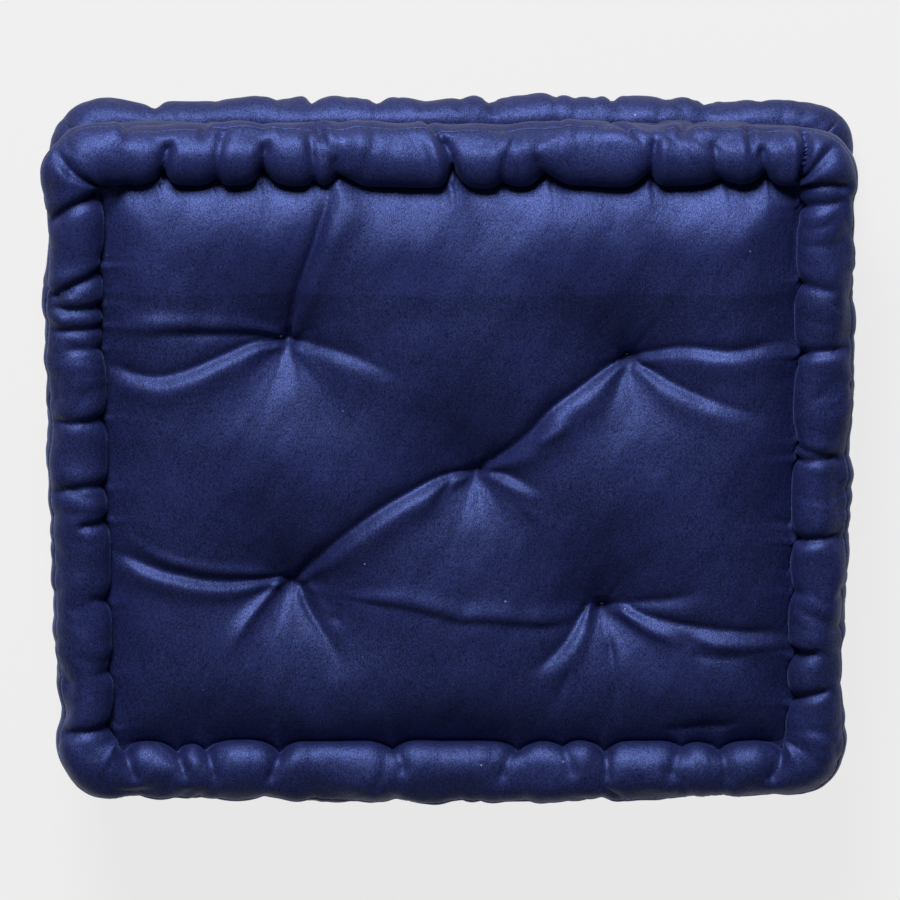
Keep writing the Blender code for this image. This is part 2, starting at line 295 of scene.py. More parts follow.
@dataclass(frozen=True)
class Pinch:
    """A place where the hand stitching pulls a rolled edge in, in millimetres.

    Attributes:
        side: The side of the cushion.
        place: Where it is along that side, in the side's own X or Y coordinate.
        neck: How much thinner the roll is there.
        crease: Depth of the sharp fold across the roll.
        lean: How far the fold drifts along the side on its way over the roll.
        reach: How far over the roll the fold runs, from the groove: 1 is to the crest, 2 right over.
    """

    side: Side
    place: float
    neck: float
    crease: float
    lean: float
    reach: float


@dataclass(frozen=True)
class Bulge:
    """A swelling along a roll.

    Attributes:
        height: How far it stands out.
        centre: Where it is, in quarters of the way round the roll from its crest, positive towards the face.
        width: Its width, in the same quarters.
    """

    height: float
    centre: float
    width: float

    def at(self, over: np.ndarray, quarter: float) -> np.ndarray:
        """Its height where the way over the roll is this, for this length of a quarter."""
        return self.height * bell(over - self.centre * quarter, self.width * quarter)


# The pinches of the upper roll, as rows of place, neck, crease, lean and reach.
UPPER_PINCHES = tuple(Pinch(side, *row) for side, rows in (
    (Side.NEAR, (
        (157, 2.4, 4.2, -5, 1.6), (127, 1, 2.1, -6, 2.2), (103, 2.4, 3.6, -3, 1.6),
        (74, 0.8, 2.3, 3, 2.1), (59, 2.2, 2.1, 5, 1.1), (-1, 3.4, 5.5, 8, 1.9),
        (-29, 0.8, 1.8, -10, 1.8), (-54, 2.4, 2.3, 8, 1.2), (-108, 2.2, 2.9, -5, 1.8),
        (-150, 1.2, 1.8, 6, 1.6), (-172, 2.2, 2.6, 3, 1.4), (-196, 2.6, 4.7, 5, 2.2),
    )),
    (Side.LEFT, (
        (-181, 2, 2.8, -4, 1.9),
    )),
    (Side.RIGHT, (
        (-168, 1.4, 3, -7, 1.9), (-157, 2.4, 3.8, 18, 1.9), (-114, 2.6, 3.8, 20, 2),
        (-92, 1.6, 2.4, 0, 2), (-80, 1.2, 2, 2, 2), (-66, 1.6, 1.6, -2, 1.4), (-28, 2.2, 2.2, 2, 2),
        (12, 2.2, 2.2, 3, 2), (30, 1.4, 2.8, 4, 1.2), (78, 2, 1.6, -3, 0.9),
        (118, 1.6, 1.2, 0, 0.8), (150, 2.6, 2.6, 4, 1.9),
    )),
    (Side.LEFT, (
        (-166, 2.2, 3, -8, 1.8), (-146, 1.6, 2.2, 6, 1.6), (-104, 2, 1.4, -4, 1.4),
        (-62, 2.4, 2.6, 6, 1.9), (-14, 2, 1.8, -12, 2), (-4, 1.6, 2.2, 3, 1.6),
        (43, 2.6, 3, 5, 1.8), (72, 1.6, 1.2, 0, 0.8), (108, 2.6, 3.2, 2, 1.2),
        (137, 2.4, 2.8, 10, 1.6),
    )),
    (Side.FAR, (
        (186, 1.8, 3, 9, 1.4), (156, 2.1, 2.8, 7, 1.4), (140, 1.8, 2.4, 7, 1.4),
        (97, 2.2, 2.8, -9, 1.4), (34, 1.8, 1.8, 9, 1.2), (-40, 2.1, 2.2, -13, 1.4),
        (-64, 1.1, 1.6, 9, 1.2), (-88, 2.1, 2.6, 2, 1.4), (-132, 1.1, 1.8, -9, 1.4),
        (-152, 1.9, 2, 7, 1.4), (-190, 1.9, 2.8, -11, 1.4),
    )),
) for row in rows)

# The folds of the upper face, as rows of path, valley, width, ridge, offset, ridge_width, step, starts,
# ends and spread.
UPPER_FOLDS = tuple(Fold(*row) for row in (
    (((89.5, -70), (84, -97), (73, -130), (62, -166)), 5, 2.3, 2.9, -5.5, 4.1, -2, 0.05, 0.35, 0.5),
    (((89.5, -70), (107, -74), (150, -77), (176, -75)), 2.2, 1.7, 1.7, -3.9, 2.5, 0, 0.05, 0.5, 0.6),
    (((191, -78), (171, -82), (148, -83), (120, -80)), 0, 3, 2.1, 0, 5.2, 0, 0.3),
    (((89.5, -68), (110, -69), (150, -54.5), (172, -53), (200, -63)),
     3, 2.2, 2.8, 4.7, 3.4, 0, 0.05, 0.25, 0.7),
    (((89.5, -70), (52, -63), (24, -50), (17, -47)), 2.6, 3.1, 2.4, -6.2, 4.8, -1.4, 0.05, 0.7, 0.6),
    (((-99, -60), (-84, -52), (-58, -34), (-43, -17), (-14.5, 5.5)),
     4.8, 2.5, 2.6, 4.7, 3.3, 2, 0.02, 0.08, 0.6),
    (((-14.5, 5.5), (4, 7), (24, 16), (44, 28), (67, 47), (89.5, 70)),
     4.2, 2.3, 2.6, 4.4, 3, 2, 0.05, 0.05, 0.6),
    (((-45, -13), (-58, -20), (-69, -28)), 0, 3, 1.7, 0, 3.1, 0, 0.3, 0.4),
    (((-99, -60), (-129, -68), (-157, -67), (-200, -74)), 3, 2.2, 2.4, -5.1, 3.7, 0, 0.05, 0.4, 0.7),
    (((-99, -60), (-129, -45), (-163, -33), (-190, -28)), 2.4, 2.2, 2.1, -4.7, 3.4, 0, 0.05, 0.6, 0.8),
    (((-14.5, 5.5), (-29, 5), (-45, 11), (-58, 17)), 2.2, 2, 2.6, -4.3, 3.1, 0, 0.05, 0.6, 0.6),
    (((-39, 20), (-51, 32)), 0, 3, 1, 0, 3, 0, 0.4, 0.4),
    (((-2, 8), (4.5, 16), (11, 27)), 2.6, 2, 0, 0, 4, 0, 0.05, 0.7),
    (((89.5, 70), (96, 67), (129, 66), (150, 62), (169, 57), (200, 44)),
     2.6, 1.9, 2.9, 3.9, 2.8, 0, 0.05, 0.3, 0.7),
    (((96, 64), (141, 57), (169, 48), (190, 33)), 0, 3, 1.9, 0, 3.3, 0, 0.2, 0.4),
    (((95, 68), (109, 81), (122, 97), (134, 118)), 0, 3, 2.9, 0, 3.3, 2.4, 0.05, 0.6, 0.8),
    (((85.5, 68), (82, 83), (69, 103), (58, 120)), 3, 2.3, 0, 0, 4, -2.6, 0.05, 0.6, 0.8),
    (((67, 86), (59, 92)), 1.2, 1.9, 0, 0, 4, 0, 0.3, 0.5),
    (((84, 62), (74, 80), (63, 87)), 0, 3, 1.5, 0, 3.1, 0, 0.2, 0.5),
    (((66, 75), (47, 77), (28, 79), (9, 83.5), (-7, 88), (-19, 88), (-62, 92), (-85.5, 84.5)),
     1.4, 3, 2.4, 3.1, 3.8, 0, 0.2, 0.2),
    (((-79, 80), (-62, 106), (-38, 122)), 2.8, 2.2, 2.6, 4.4, 3.3, 0, 0.05, 0.6, 0.8),
    (((-70, 112), (-56, 147)), 1.8, 2.5, 0, 0, 4, 0, 0.3, 0.7, 0.6),
    (((-93, 82), (-111, 94), (-133, 102)), 0, 3, 2.6, 0, 3.4, 0, 0.1, 0.4),
    (((-133, 95), (-148, 101), (-200, 105)), 0, 3, 2.2, 0, 3.8, 0, 0.3, 0.3),
    (((-96, 82), (-116, 88), (-148, 93), (-200, 99)), 3.2, 2.2, 0, 0, 4, 0, 0.1, 0.3, 0.6),
    (((-85.5, 84.5), (-110, 79), (-133, 74), (-150, 65)), 2.6, 2.3, 1.5, -5.1, 3.7, 0, 0.05, 0.5, 0.7),
    (((-133, 108), (-175, 111)), 2, 3.9, 0, 0, 4, 0, 0.3, 0.5),
    (((-90, 95), (-96, 130), (-98, 160)), 1.8, 3.5, 0, 0, 4, 2, 0.2, 0.6, 1),
    (((196, -135), (184, -150), (174, -168)), 3, 2.3, 0, 0, 4, -2, 0.2, 0.3),
    (((-118, 154), (-148, 151), (-168, 148)), 2.2, 2.3, 0, 0, 4, 0, 0.3, 0.3),
    (((-202, 36), (-178, 31)), 2.4, 1.9),
    (((-202, 62), (-182, 60)), 1.8, 1.9),
    (((157, -172), (152, -150), (146, -128)), 0, 3, 2.1, 0, 5.9, 0, 0.02, 0.7, 1),
    (((62, -172), (58, -155), (50, -130)), 0, 3, 1.7, 0, 5.9, 0, 0.02, 0.7, 1),
    (((0, -172), (-4, -150), (-8, -125)), 0, 3, 2.2, 0, 5.9, 0, 0.02, 0.7, 1),
    (((-108, -172), (-106, -150), (-100, -130)), 0, 3, 1.7, 0, 5.9, 0, 0.02, 0.7, 1),
))


# ---------------------------------------------------------------- the cover


@dataclass
class Plan:
    """The rounded outline of the cushion seen from above, and its inner parallels."""

    sizes: CushionSizes
    across: int
    along: int

    def straight(self, side: Side) -> float:
        """Length of a side's straight stretch."""
        whole = self.sizes.length if side in (Side.RIGHT, Side.LEFT) else self.sizes.width
        return whole - 2 * self.sizes.corner_radius

    def side_length(self, side: Side) -> float:
        """Length of a side along the roll's middle, from corner middle to corner middle."""
        return self.straight(side) + math.pi / 2 * (self.sizes.corner_radius - self.sizes.roll_radius)

    def round_length(self) -> float:
        """Length right round the roll's middle."""
        return sum(self.side_length(side) for side in Side)

    def travel_at(self, side: Side, place: float) -> float:
        """Travel round the cushion of a place on a side.

        Args:
            side: The side.
            place: The place, in the side's own X or Y coordinate.

        Returns:
            The travel from the near right corner's middle.
        """
        before = sum(self.side_length(Side(k)) for k in range(side.value))
        forward = place if side in (Side.RIGHT, Side.NEAR) else -place
        return before + self.side_length(side) / 2 + forward

    def ring(self, insets: np.ndarray) -> tuple:
        """Plan points of the columns at each inset, all round the cushion.

        Each side runs from corner middle to corner middle as a quarter bend, a straight and a quarter
        bend, and its columns share that length out evenly at every inset.

        Args:
            insets: Insets of the rows.

        Returns:
            Points and outward directions as arrays (column, row, 2), and the travel round the cushion
            as an array (column, row).
        """
        radius = self.sizes.corner_radius - insets[None, :]
        middle_radius = self.sizes.corner_radius - self.sizes.roll_radius
        points, outwards, travels = [], [], []
        for side, count in zip(Side, (self.along, self.across, self.along, self.across)):
            straight = self.straight(side)
            half_out = (self.sizes.width if side in (Side.RIGHT, Side.LEFT) else self.sizes.length) / 2
            run = (np.arange(count)[:, None] / count - 0.5) * (straight + math.pi / 2 * radius)
            turn = np.clip(np.abs(run) - straight / 2, 0, None) / radius
            on_straight = np.minimum(np.abs(run), straight / 2)
            along = np.sign(run) * (on_straight + radius * np.sin(turn))
            out = half_out - self.sizes.corner_radius + radius * np.cos(turn)
            angle = side.value * math.pi / 2
            out_way = np.array([math.cos(angle), math.sin(angle)])
            along_way = np.array([-math.sin(angle), math.cos(angle)])
            points.append(out[..., None] * out_way + along[..., None] * along_way)
            sideways = np.sign(run) * np.sin(turn)
            outwards.append(np.cos(turn)[..., None] * out_way + sideways[..., None] * along_way)
            middle = self.travel_at(side, 0.0)
            travels.append(middle + np.sign(run) * (on_straight + turn * middle_radius))
        return np.concatenate(points), np.concatenate(outwards), np.concatenate(travels)


@dataclass(frozen=True)
class RollSection:
    """The cover's section from one face's groove over a roll, down the boxing and over the other roll.

    Attributes:
        insets: Inset of each row.
        depths: Depth of each row.
        normals: Outward direction of each row, as (inset, depth).
        overs: For each row, the way round its roll from the crest, in metres: positive towards the face.
        rolls: For each row, 1 on the upper roll, -1 on the lower roll and 0 on the boxing between.
    """

    insets: np.ndarray
    depths: np.ndarray
    normals: np.ndarray
    overs: np.ndarray
    rolls: np.ndarray

    FACE_END = math.radians(186)
    BOXING_END = math.radians(-96)

    @classmethod
    def make(cls, sizes: CushionSizes, cell: float) -> "RollSection":
        """Works the section out, with a row about every cell.

        The roll is an arc. Between the rolls the boxing bulges: its inset falls from the arc's end to
        the boxing's own inset as the power 2.6 of the distance from the middle.

        Args:
            sizes: The cushion's sizes.
            cell: Distance between rows.

        Returns:
            The section.
        """
        radius = sizes.roll_radius
        count = round((cls.FACE_END - cls.BOXING_END) * radius / cell)
        angle = np.linspace(cls.FACE_END, cls.BOXING_END, count + 1)
        arc_inset = radius * (1 - np.cos(angle))
        arc_depth = radius * (1 - np.sin(angle))
        over = radius * (angle - math.pi / 2)
        half = sizes.thickness / 2 - arc_depth[-1]
        rise = np.linspace(-1, 1, 2 * round(1.4 * half / cell) + 1)[1:-1]
        box_inset = sizes.boxing_inset + (arc_inset[-1] - sizes.boxing_inset) * np.abs(rise) ** 2.6
        box_depth = sizes.thickness / 2 + rise * half
        insets = np.concatenate([arc_inset, box_inset, arc_inset[::-1]])
        depths = np.concatenate([arc_depth, box_depth, sizes.thickness - arc_depth[::-1]])
        tangent = unit(np.gradient(np.stack([insets, depths], 1), axis=0))
        normals = np.stack([-tangent[:, 1], tangent[:, 0]], 1)
        overs = np.concatenate([over, np.full(len(rise), over[-1]), over[::-1]])
        ones = np.ones(count + 1)
        return cls(insets, depths, normals, overs, np.concatenate([ones, 0 * rise, -ones]))


@dataclass
class RolledEdge:
    """The ring of the cover: the two rolled edges and the boxing between them.

    Attributes:
        puff: How far a roll swells between two pinches.
        neck_width: How far along the roll a pinch is felt.
        overhang: How far a roll leans over its groove between pinches.
        meander: How far the groove wanders towards the face between pinches.
        random_gap: Least and most distance between the pinches that aren't listed.
        near_reach: How far along the near side its own shape is felt, from its middle.
        flank_reach: How far along the left and right sides theirs is.
        quarter: Length of a quarter of the way round a roll.
        start: Way over a roll at the face's end of its arc.
        stop: Way over a roll at the boxing's end of its arc.
    """

    sizes: CushionSizes
    plan: Plan
    section: RollSection
    puff: float = 1.6 * MM
    neck_width: float = 7.5 * MM
    overhang: float = 2.6 * MM
    meander: float = 3.6 * MM
    random_gap: tuple = (0.040, 0.058)
    near_reach: float = 0.215
    flank_reach: float = 0.2
    seed: int = 11
    quarter: float = field(init=False)
    start: float = field(init=False)
    stop: float = field(init=False)

    LOWER_NEAR = (160, 74, 37, -25, -93, -143)
    STRENGTHS = {Side.RIGHT: 0.45, Side.FAR: 0.7, Side.LEFT: 0.45, Side.NEAR: 0.65}
    # Listed outer creases of the near side, as place and lean.
    OUTER = ((178, -2), (134, 3), (72, -5), (14, -14), (-86, -22), (-128, 4), (-163, -3))
    OUTER_SIZE = 2.8
    LEANING = Bulge(1.0, 0.72, 0.5)
    UNDERCUT = Bulge(-0.5, -0.35, 0.6)
    NEAR_SLIMMING = Bulge(-4.0 * MM, -1.15, 0.7)
    FLANK_SLIMMING = {1: Bulge(-2.4 * MM, -1.0, 0.8), -1: Bulge(-5.4 * MM, -1.0, 0.8)}
    CORNER_LUMP = 3.0 * MM
    PINCHED = Fold((), 1.4, 2.1, 0.45, 5.0, 3.4, 0.6, 0.02, 0.3)
    CREASED = Fold((), 1.0, 1.8, 0.5, 4.4, 2.8, 1.0, 0.1, 0.45)
    # Wavelength and height of the gathers.
    GATHERS = ((0.023, 1.2 * MM), (0.0125, 0.6 * MM))

    def __post_init__(self) -> None:
        """Works out a quarter of the way round a roll, and where its arc starts and stops."""
        radius = self.sizes.roll_radius
        self.quarter = math.pi / 2 * radius
        self.start = radius * (RollSection.FACE_END - math.pi / 2)
        self.stop = radius * (RollSection.BOXING_END - math.pi / 2)

    def upper_pinches(self) -> list:
        """The listed pinches of the upper roll as (travel, pinch)."""
        return [(self.plan.travel_at(pinch.side, pinch.place * MM), pinch) for pinch in UPPER_PINCHES]

    def lower_pinches(self) -> list:
        """Pinches of the lower roll as (travel, pinch), listed on the near side and at random elsewhere.

        Returns:
            The pinches in order round the cushion.
        """
        random = np.random.default_rng(self.seed)
        made = [
            (self.plan.travel_at(Side.NEAR, place * MM), Pinch(Side.NEAR, place, 4.2, 3.6, 4.0, 2.6))
            for place in self.LOWER_NEAR
        ]
        travel, stop = 0.01, self.plan.travel_at(Side.NEAR, -0.185)
        ranges = ((1.6, 2.8), (1.4, 3.0), (-7, 7), (0.9, 2.2))
        while travel < stop:
            made.append((travel, Pinch(Side.RIGHT, 0.0, *[random.uniform(*ends) for ends in ranges])))
            travel += random.uniform(*self.random_gap)
        return sorted(made, key=lambda item: item[0])

    def gap_to(self, travel: np.ndarray, place: float) -> np.ndarray:
        """Signed distance round the cushion from a place, the short way round."""
        around = self.plan.round_length()
        return (travel - place + around / 2) % around - around / 2

    def nearness(self, travel: np.ndarray) -> np.ndarray:
        """1 in the middle of the near side, falling away to its corners and beyond them."""
        return bell(self.gap_to(travel, self.plan.travel_at(Side.NEAR, 0.0)), self.near_reach)

    def flankness(self, travel: np.ndarray) -> np.ndarray:
        """1 in the middles of the left and right sides, falling away towards their corners."""
        middles = [self.plan.travel_at(side, 0.0) for side in (Side.RIGHT, Side.LEFT)]
        return sum(bell(self.gap_to(travel, middle), self.flank_reach) for middle in middles)

    def lobes(self, travel: np.ndarray, pinches: list) -> np.ndarray:
        """0 at a firm pinch and near 1 between two: the product of 1 - k bell(distance) over the pinches.

        Args:
            travel: Travel round the cushion of each point.
            pinches: The roll's pinches as (travel, pinch).

        Returns:
            The values, one for each point.
        """
        result = np.ones(travel.shape)
        for place, pinch in pinches:
            strength = self.STRENGTHS[pinch.side] * min(pinch.neck / 2.6, 1.0)
            result *= 1 - strength * bell(self.gap_to(travel, place), self.neck_width)
        return result

    def roll_height(
        self, travel: np.ndarray, over: np.ndarray, pinches: list, sign: int, seed: int
    ) -> np.ndarray:
        """How far a roll's cloth stands out from the plain arc.

        The roll swells by puff times its lobes, leans over its groove by a bell of the way over, is
        slimmer outside by bells along the near side and the flanks, thins by each pinch's neck, bulges at
        the four corners, and carries creases over the pinches, creases from the boxing, waves and gathers.

        Args:
            travel: Travel round the cushion of each point.
            over: Way over the roll from its crest, positive towards the face.
            pinches: The roll's pinches as (travel, pinch).
            sign: 1 for the upper roll, which is also slimmer along the near side, or -1 for the lower.
            seed: Seed of the small unevenness.

        Returns:
            Heights in metres.
        """
        quarter = self.quarter
        share = np.clip((self.start - over) / (self.start - self.stop), 0, 1)
        swell = np.sin(math.pi * share) ** 0.6
        lobes = self.lobes(travel, pinches)
        near = self.nearness(travel) if sign > 0 else 0.0
        lean = self.overhang * (1 + near)
        height = self.puff * (0.9 * lobes - 0.4) * swell
        height += lean * (0.45 + 0.55 * lobes) * self.LEANING.at(over, quarter)
        height += lean * self.UNDERCUT.at(over, quarter)
        height += near * self.NEAR_SLIMMING.at(over, quarter) * swell
        height += self.flankness(travel) * self.FLANK_SLIMMING[sign].at(over, quarter) * swell
        random = np.random.default_rng(seed)
        grip = 0.3 * MM * (1 - 0.62 * np.sin(math.pi * share))
        first = self.start / MM + 2
        for place, pinch in pinches:
            gap = self.gap_to(travel, place)
            height -= pinch.neck * bell(gap, self.neck_width) * grip
            reach = pinch.reach * quarter / MM
            drift = 0.3 * pinch.lean + random.uniform(-2.5, 2.5)
            path = ((0.0, first), (drift, first - 0.4 * reach), (pinch.lean, first - reach))
            soft = 1.6 if pinch.side is Side.FAR else 1.0
            height += self.PINCHED.varied(path, pinch.crease, soft, random).height(gap, over)
        height += self.outer_creases(travel, over, sign, seed)
        uneven = 0.7 * waves(travel, over, 0.030, seed) + waves(travel, over, 0.07, seed + 3)
        before = 0.0
        for side in Side:
            height += self.CORNER_LUMP * bell(self.gap_to(travel, before), 0.016) * swell
            before += self.plan.side_length(side)
        return height + (MM * uneven + self.gathers(travel, over, seed)) * swell

    def outer_creases(self, travel: np.ndarray, over: np.ndarray, sign: int, seed: int) -> np.ndarray:
        """Creases that run over a roll from its outer side: listed sharp ones, then softer random ones.

        Args:
            travel: Travel round the cushion of each point.
            over: Way over the roll from its crest.
            sign: 1 for the upper roll, or -1 for the lower, which has only the random ones.
            seed: Seed of the random creases.

        Returns:
            Heights in metres.
        """
        random = np.random.default_rng(seed + 40)
        quarter = self.quarter / MM
        made, place = [], 0.0
        stop = self.plan.round_length()
        if sign > 0:
            for x, lean in self.OUTER:
                made.append((self.plan.travel_at(Side.NEAR, x * MM), lean, self.OUTER_SIZE))
            stop = self.plan.travel_at(Side.NEAR, -0.18)
        while place < stop:
            made.append((place, random.uniform(-12, 12), random.uniform(0.4, 1.5)))
            place += random.uniform(0.016, 0.040)
        height = np.zeros(travel.shape)
        for place, lean, size in made:
            first, last = -random.uniform(1.1, 1.9) * quarter, random.uniform(-0.3, 0.5) * quarter
            path = ((0, first), (0.3 * lean, 0.6 * first + 0.4 * last), (lean, last))
            soft = 1.0 if size == self.OUTER_SIZE else 1.8
            height += self.CREASED.varied(path, size, soft, random).height(self.gap_to(travel, place), over)
        return height

    def gathers(self, travel: np.ndarray, over: np.ndarray, seed: int) -> np.ndarray:
        """Small gathers across a roll: sharp-bottomed waves |sin|^0.7, wandering and coming and going.

        Args:
            travel: Travel round the cushion of each point.
            over: Way over the roll from its crest.
            seed: Seed of the wandering.

        Returns:
            Heights in metres.
        """
        total, around = np.zeros(travel.shape), self.plan.round_length()
        for number, (length, size) in enumerate(self.GATHERS):
            wander = 0.55 * waves(travel, over, 0.055, seed + 7 + number)
            strength = smooth(0.5 + 0.7 * waves(travel, over, 0.06, seed + 17 + number))
            wave = np.abs(np.sin(math.pi * (travel / around * round(around / length) + wander))) ** 0.7
            total += size * (wave - 0.7) * strength
        return total

    def boxing_height(self, travel: np.ndarray, depth: np.ndarray) -> np.ndarray:
        """How far the boxing stands out from its plain bulge: waves, flatter sides, and upright pleats.

        Args:
            travel: Travel round the cushion of each point.
            depth: Depth of each point.

        Returns:
            Heights in metres.
        """
        half = self.sizes.thickness / 2 / MM
        random = np.random.default_rng(self.seed + 5)
        height = 0.8 * MM * waves(travel, depth, 0.05, self.seed)
        height -= 6.0 * MM * self.nearness(travel) + 3.0 * MM * self.flankness(travel)
        place, around = 0.0, self.plan.round_length()
        while place < around:
            lean = random.uniform(-6, 6)
            rise = -22 if random.random() < 0.5 else 22
            path = ((0, half - rise), (lean / 2, half), (lean, half + rise))
            valley, ridge = random.uniform(0.8, 2.4), random.uniform(0.2, 1.0)
            fold = Fold(path, valley, 3.0, ridge, 4.0, starts=0.02, ends=random.uniform(0.4, 0.95))
            height += fold.height(self.gap_to(travel, place), depth)
            place += random.uniform(0.014, 0.034)
        return height

    def points(self) -> np.ndarray:
        """Points of the ring, as an array (column, row, 3).

        Each point is the section's, pushed out along the section's normal by the roll's or the
        boxing's height, with the groove drawn towards the face between pinches.

        Returns:
            The points.
        """
        section = self.section
        plan_points, outward, travel = self.plan.ring(section.insets)
        over = np.broadcast_to(section.overs[None, :], travel.shape)
        depth = np.broadcast_to(section.depths[None, :], travel.shape)
        height, shift = np.zeros(travel.shape), np.zeros(travel.shape)
        for sign, pinches, seed in ((1, self.upper_pinches(), 21), (-1, self.lower_pinches(), 22)):
            rows = section.rolls == sign
            round_it, over_it = travel[:, rows], over[:, rows]
            height[:, rows] = self.roll_height(round_it, over_it, pinches, sign, seed)
            near_groove = smooth(1 - (self.start - over_it) / self.quarter)
            wander = self.meander * (0.7 + 0.3 * self.nearness(round_it))
            shift[:, rows] = wander * (2 * self.lobes(round_it, pinches) - 1) * near_groove
        middle = section.rolls == 0
        edge = np.sin(math.pi * np.linspace(0, 1, middle.sum() + 2)[1:-1]) ** 0.5
        height[:, middle] = self.boxing_height(travel[:, middle], depth[:, middle]) * edge
        inwards = height * section.normals[None, :, 0] + shift
        flat = plan_points - inwards[..., None] * outward
        z = self.sizes.thickness - depth - height * section.normals[None, :, 1]
        return np.concatenate([flat, z[..., None]], axis=2)


@dataclass
class TuftedFace:
    """One face of the cushion, from groove to groove.

    Attributes:
        crown: How much higher the middle stands than the edge of the shoulder.
        shoulder: How far in from the groove the cloth has risen to its full height.
        dimple: Radius over which a tuft draws the cloth down.
    """

    sizes: CushionSizes
    face: Face
    folds: tuple
    seed: int
    crown: float = 3.0 * MM
    shoulder: float = 0.052
    dimple: float = 0.088

    def inside(self, x: np.ndarray, y: np.ndarray) -> tuple:
        """How far points are in from the grooves, along X and along Y."""
        groove = self.sizes.groove_inset
        return self.sizes.width / 2 - groove - np.abs(x), self.sizes.length / 2 - groove - np.abs(y)

    def depth(self, x: np.ndarray, y: np.ndarray) -> np.ndarray:
        """Depth of the face below its own top.

        The shoulder rises as 1 - share^2.4 from the groove, the two directions joined by a cubic norm.
        Each tuft takes away tie_depth times the sum of three cones, 0.82 (1 - r / dimple)^1.9,
        0.32 (1 - r / (0.42 dimple))^2 and 0.24 (1 - r / 7 mm)^1.3, and the folds add their own heights.

        Args:
            x: X of the points.
            y: Y of the points.

        Returns:
            Depths in metres.
        """
        fall_x, fall_y = (np.clip(1 - way / self.shoulder, 0, 1) ** 2.4 for way in self.inside(x, y))
        fall = np.clip((fall_x**3 + fall_y**3) ** (1 / 3), 0, 1)
        reach = (2 * x / self.sizes.width) ** 2 + (2 * y / self.sizes.length) ** 2
        depth = fall * self.sizes.roll_radius + self.crown * (np.clip(reach, 0, 1) - 0.5)
        cones = ((0.82, self.dimple, 1.9), (0.32, 0.42 * self.dimple, 2.0), (0.24, 7 * MM, 1.3))
        for centre_x, centre_y in self.sizes.tufts.values():
            away = np.hypot(x - centre_x, y - centre_y)
            for size, radius, power in cones:
                depth += self.sizes.tie_depth * size * np.clip(1 - away / radius, 0, 1) ** power
            depth += 0.8 * MM * self.flutes(x - centre_x, y - centre_y)
        for fold in self.folds:
            depth -= fold.height(x, y)
        uneven = 0.9 * waves(x, y, 0.075, self.seed) + 0.25 * waves(x, y, 0.020, self.seed + 1)
        return depth - MM * uneven * (1 - fall)

    def flutes(self, x: np.ndarray, y: np.ndarray) -> np.ndarray:
        """Pleats that fan out of a tuft.

        They are half the sum of 1 - 2 |sin(k turn / 2 + phase)|^0.8 for k = 5, 8 and 13. They grow over
        9 mm and die outwards as exp(-r / 24 mm).

        Args:
            x: X of the points from the tuft.
            y: Y of the points from the tuft.

        Returns:
            Values of about -1 to 1.
        """
        away, turn = np.hypot(x, y), np.arctan2(y, x)
        random = np.random.default_rng(self.seed + 3)
        total = np.zeros(x.shape)
        for count in (5, 8, 13):
            total += 1 - 2 * np.abs(np.sin(0.5 * count * turn + random.uniform(0, math.tau))) ** 0.8
        return total / 2 * smooth(away / (9 * MM)) * np.exp(-away / (24 * MM))

    def points(self, rim: np.ndarray, plain_rim: np.ndarray, across: int, along: int) -> np.ndarray:
        """Points of the face inside its rim, as an array (across + 1, along + 1, 3).

        The plan is a Coons patch of the plain rim. The patch of what the rim differs by from that is
        added, dying away inwards as exp(-distance / 9 mm), so that the rim is met exactly.

        Args:
            rim: The rim's points in order from the near right corner, as (column, 3).
            plain_rim: The same before the roll's unevenness, as (column, 2).
            across: Columns along X.
            along: Columns along Y.

        Returns:
            The points, with the rim's own on the border.
        """
        edges = rim_parts(rim, across, along)
        flat = coons(*rim_parts(np.pad(plain_rim, ((0, 0), (0, 1))), across, along))
        x, y = flat[..., 0], flat[..., 1]
        top = self.sizes.thickness if self.face is Face.UPPER else 0.0
        plain = np.stack([x, y, top - self.face.value * self.depth(x, y)], axis=2)
        missing = coons(*[edge - plain[place] for place, edge in zip(BORDER, edges)])
        dying = np.exp(-np.clip(np.minimum(*self.inside(x, y)), 0, None) / (9 * MM))
        points = plain + missing * dying[..., None]
        for place, edge in zip(BORDER, edges):
            points[place] = edge
        return points


# A face grid's near, far, left and right borders.
BORDER = (np.s_[:, 0], np.s_[:, -1], np.s_[0], np.s_[-1])


def rim_parts(rim: np.ndarray, across: int, along: int) -> tuple:
    """The rim cut into its near, far, left and right edges, each along increasing X or Y.

    Args:
        rim: Points or numbers round the rim, from the near right corner.
        across: Columns along X.
        along: Columns along Y.

    Returns:
        The four edges.
    """
    far = rim[along : along + across + 1][::-1]
    left = rim[along + across : 2 * along + across + 1][::-1]
    return np.concatenate([rim[2 * along + across :], rim[:1]]), far, left, rim[: along + 1]


def coons(near: np.ndarray, far: np.ndarray, left: np.ndarray, right: np.ndarray) -> np.ndarray:
    """The patch between four edges: the sum of the two ruled patches less the corners' bilinear one.

    Args:
        near: Edge at v = 0, from u = 0 to 1.
        far: Edge at v = 1.
        left: Edge at u = 0, from v = 0 to 1.
        right: Edge at u = 1.

    Returns:
        An array (u, v, 3).
    """
    u = np.linspace(0, 1, len(near))[:, None, None]
    v = np.linspace(0, 1, len(left))[None, :, None]
    ruled_v = (1 - v) * near[:, None, :] + v * far[:, None, :]
    ruled_u = (1 - u) * left[None, :, :] + u * right[None, :, :]
    corners = (1 - u) * ((1 - v) * near[0] + v * far[0]) + u * ((1 - v) * near[-1] + v * far[-1])
    return ruled_v + ruled_u - corners


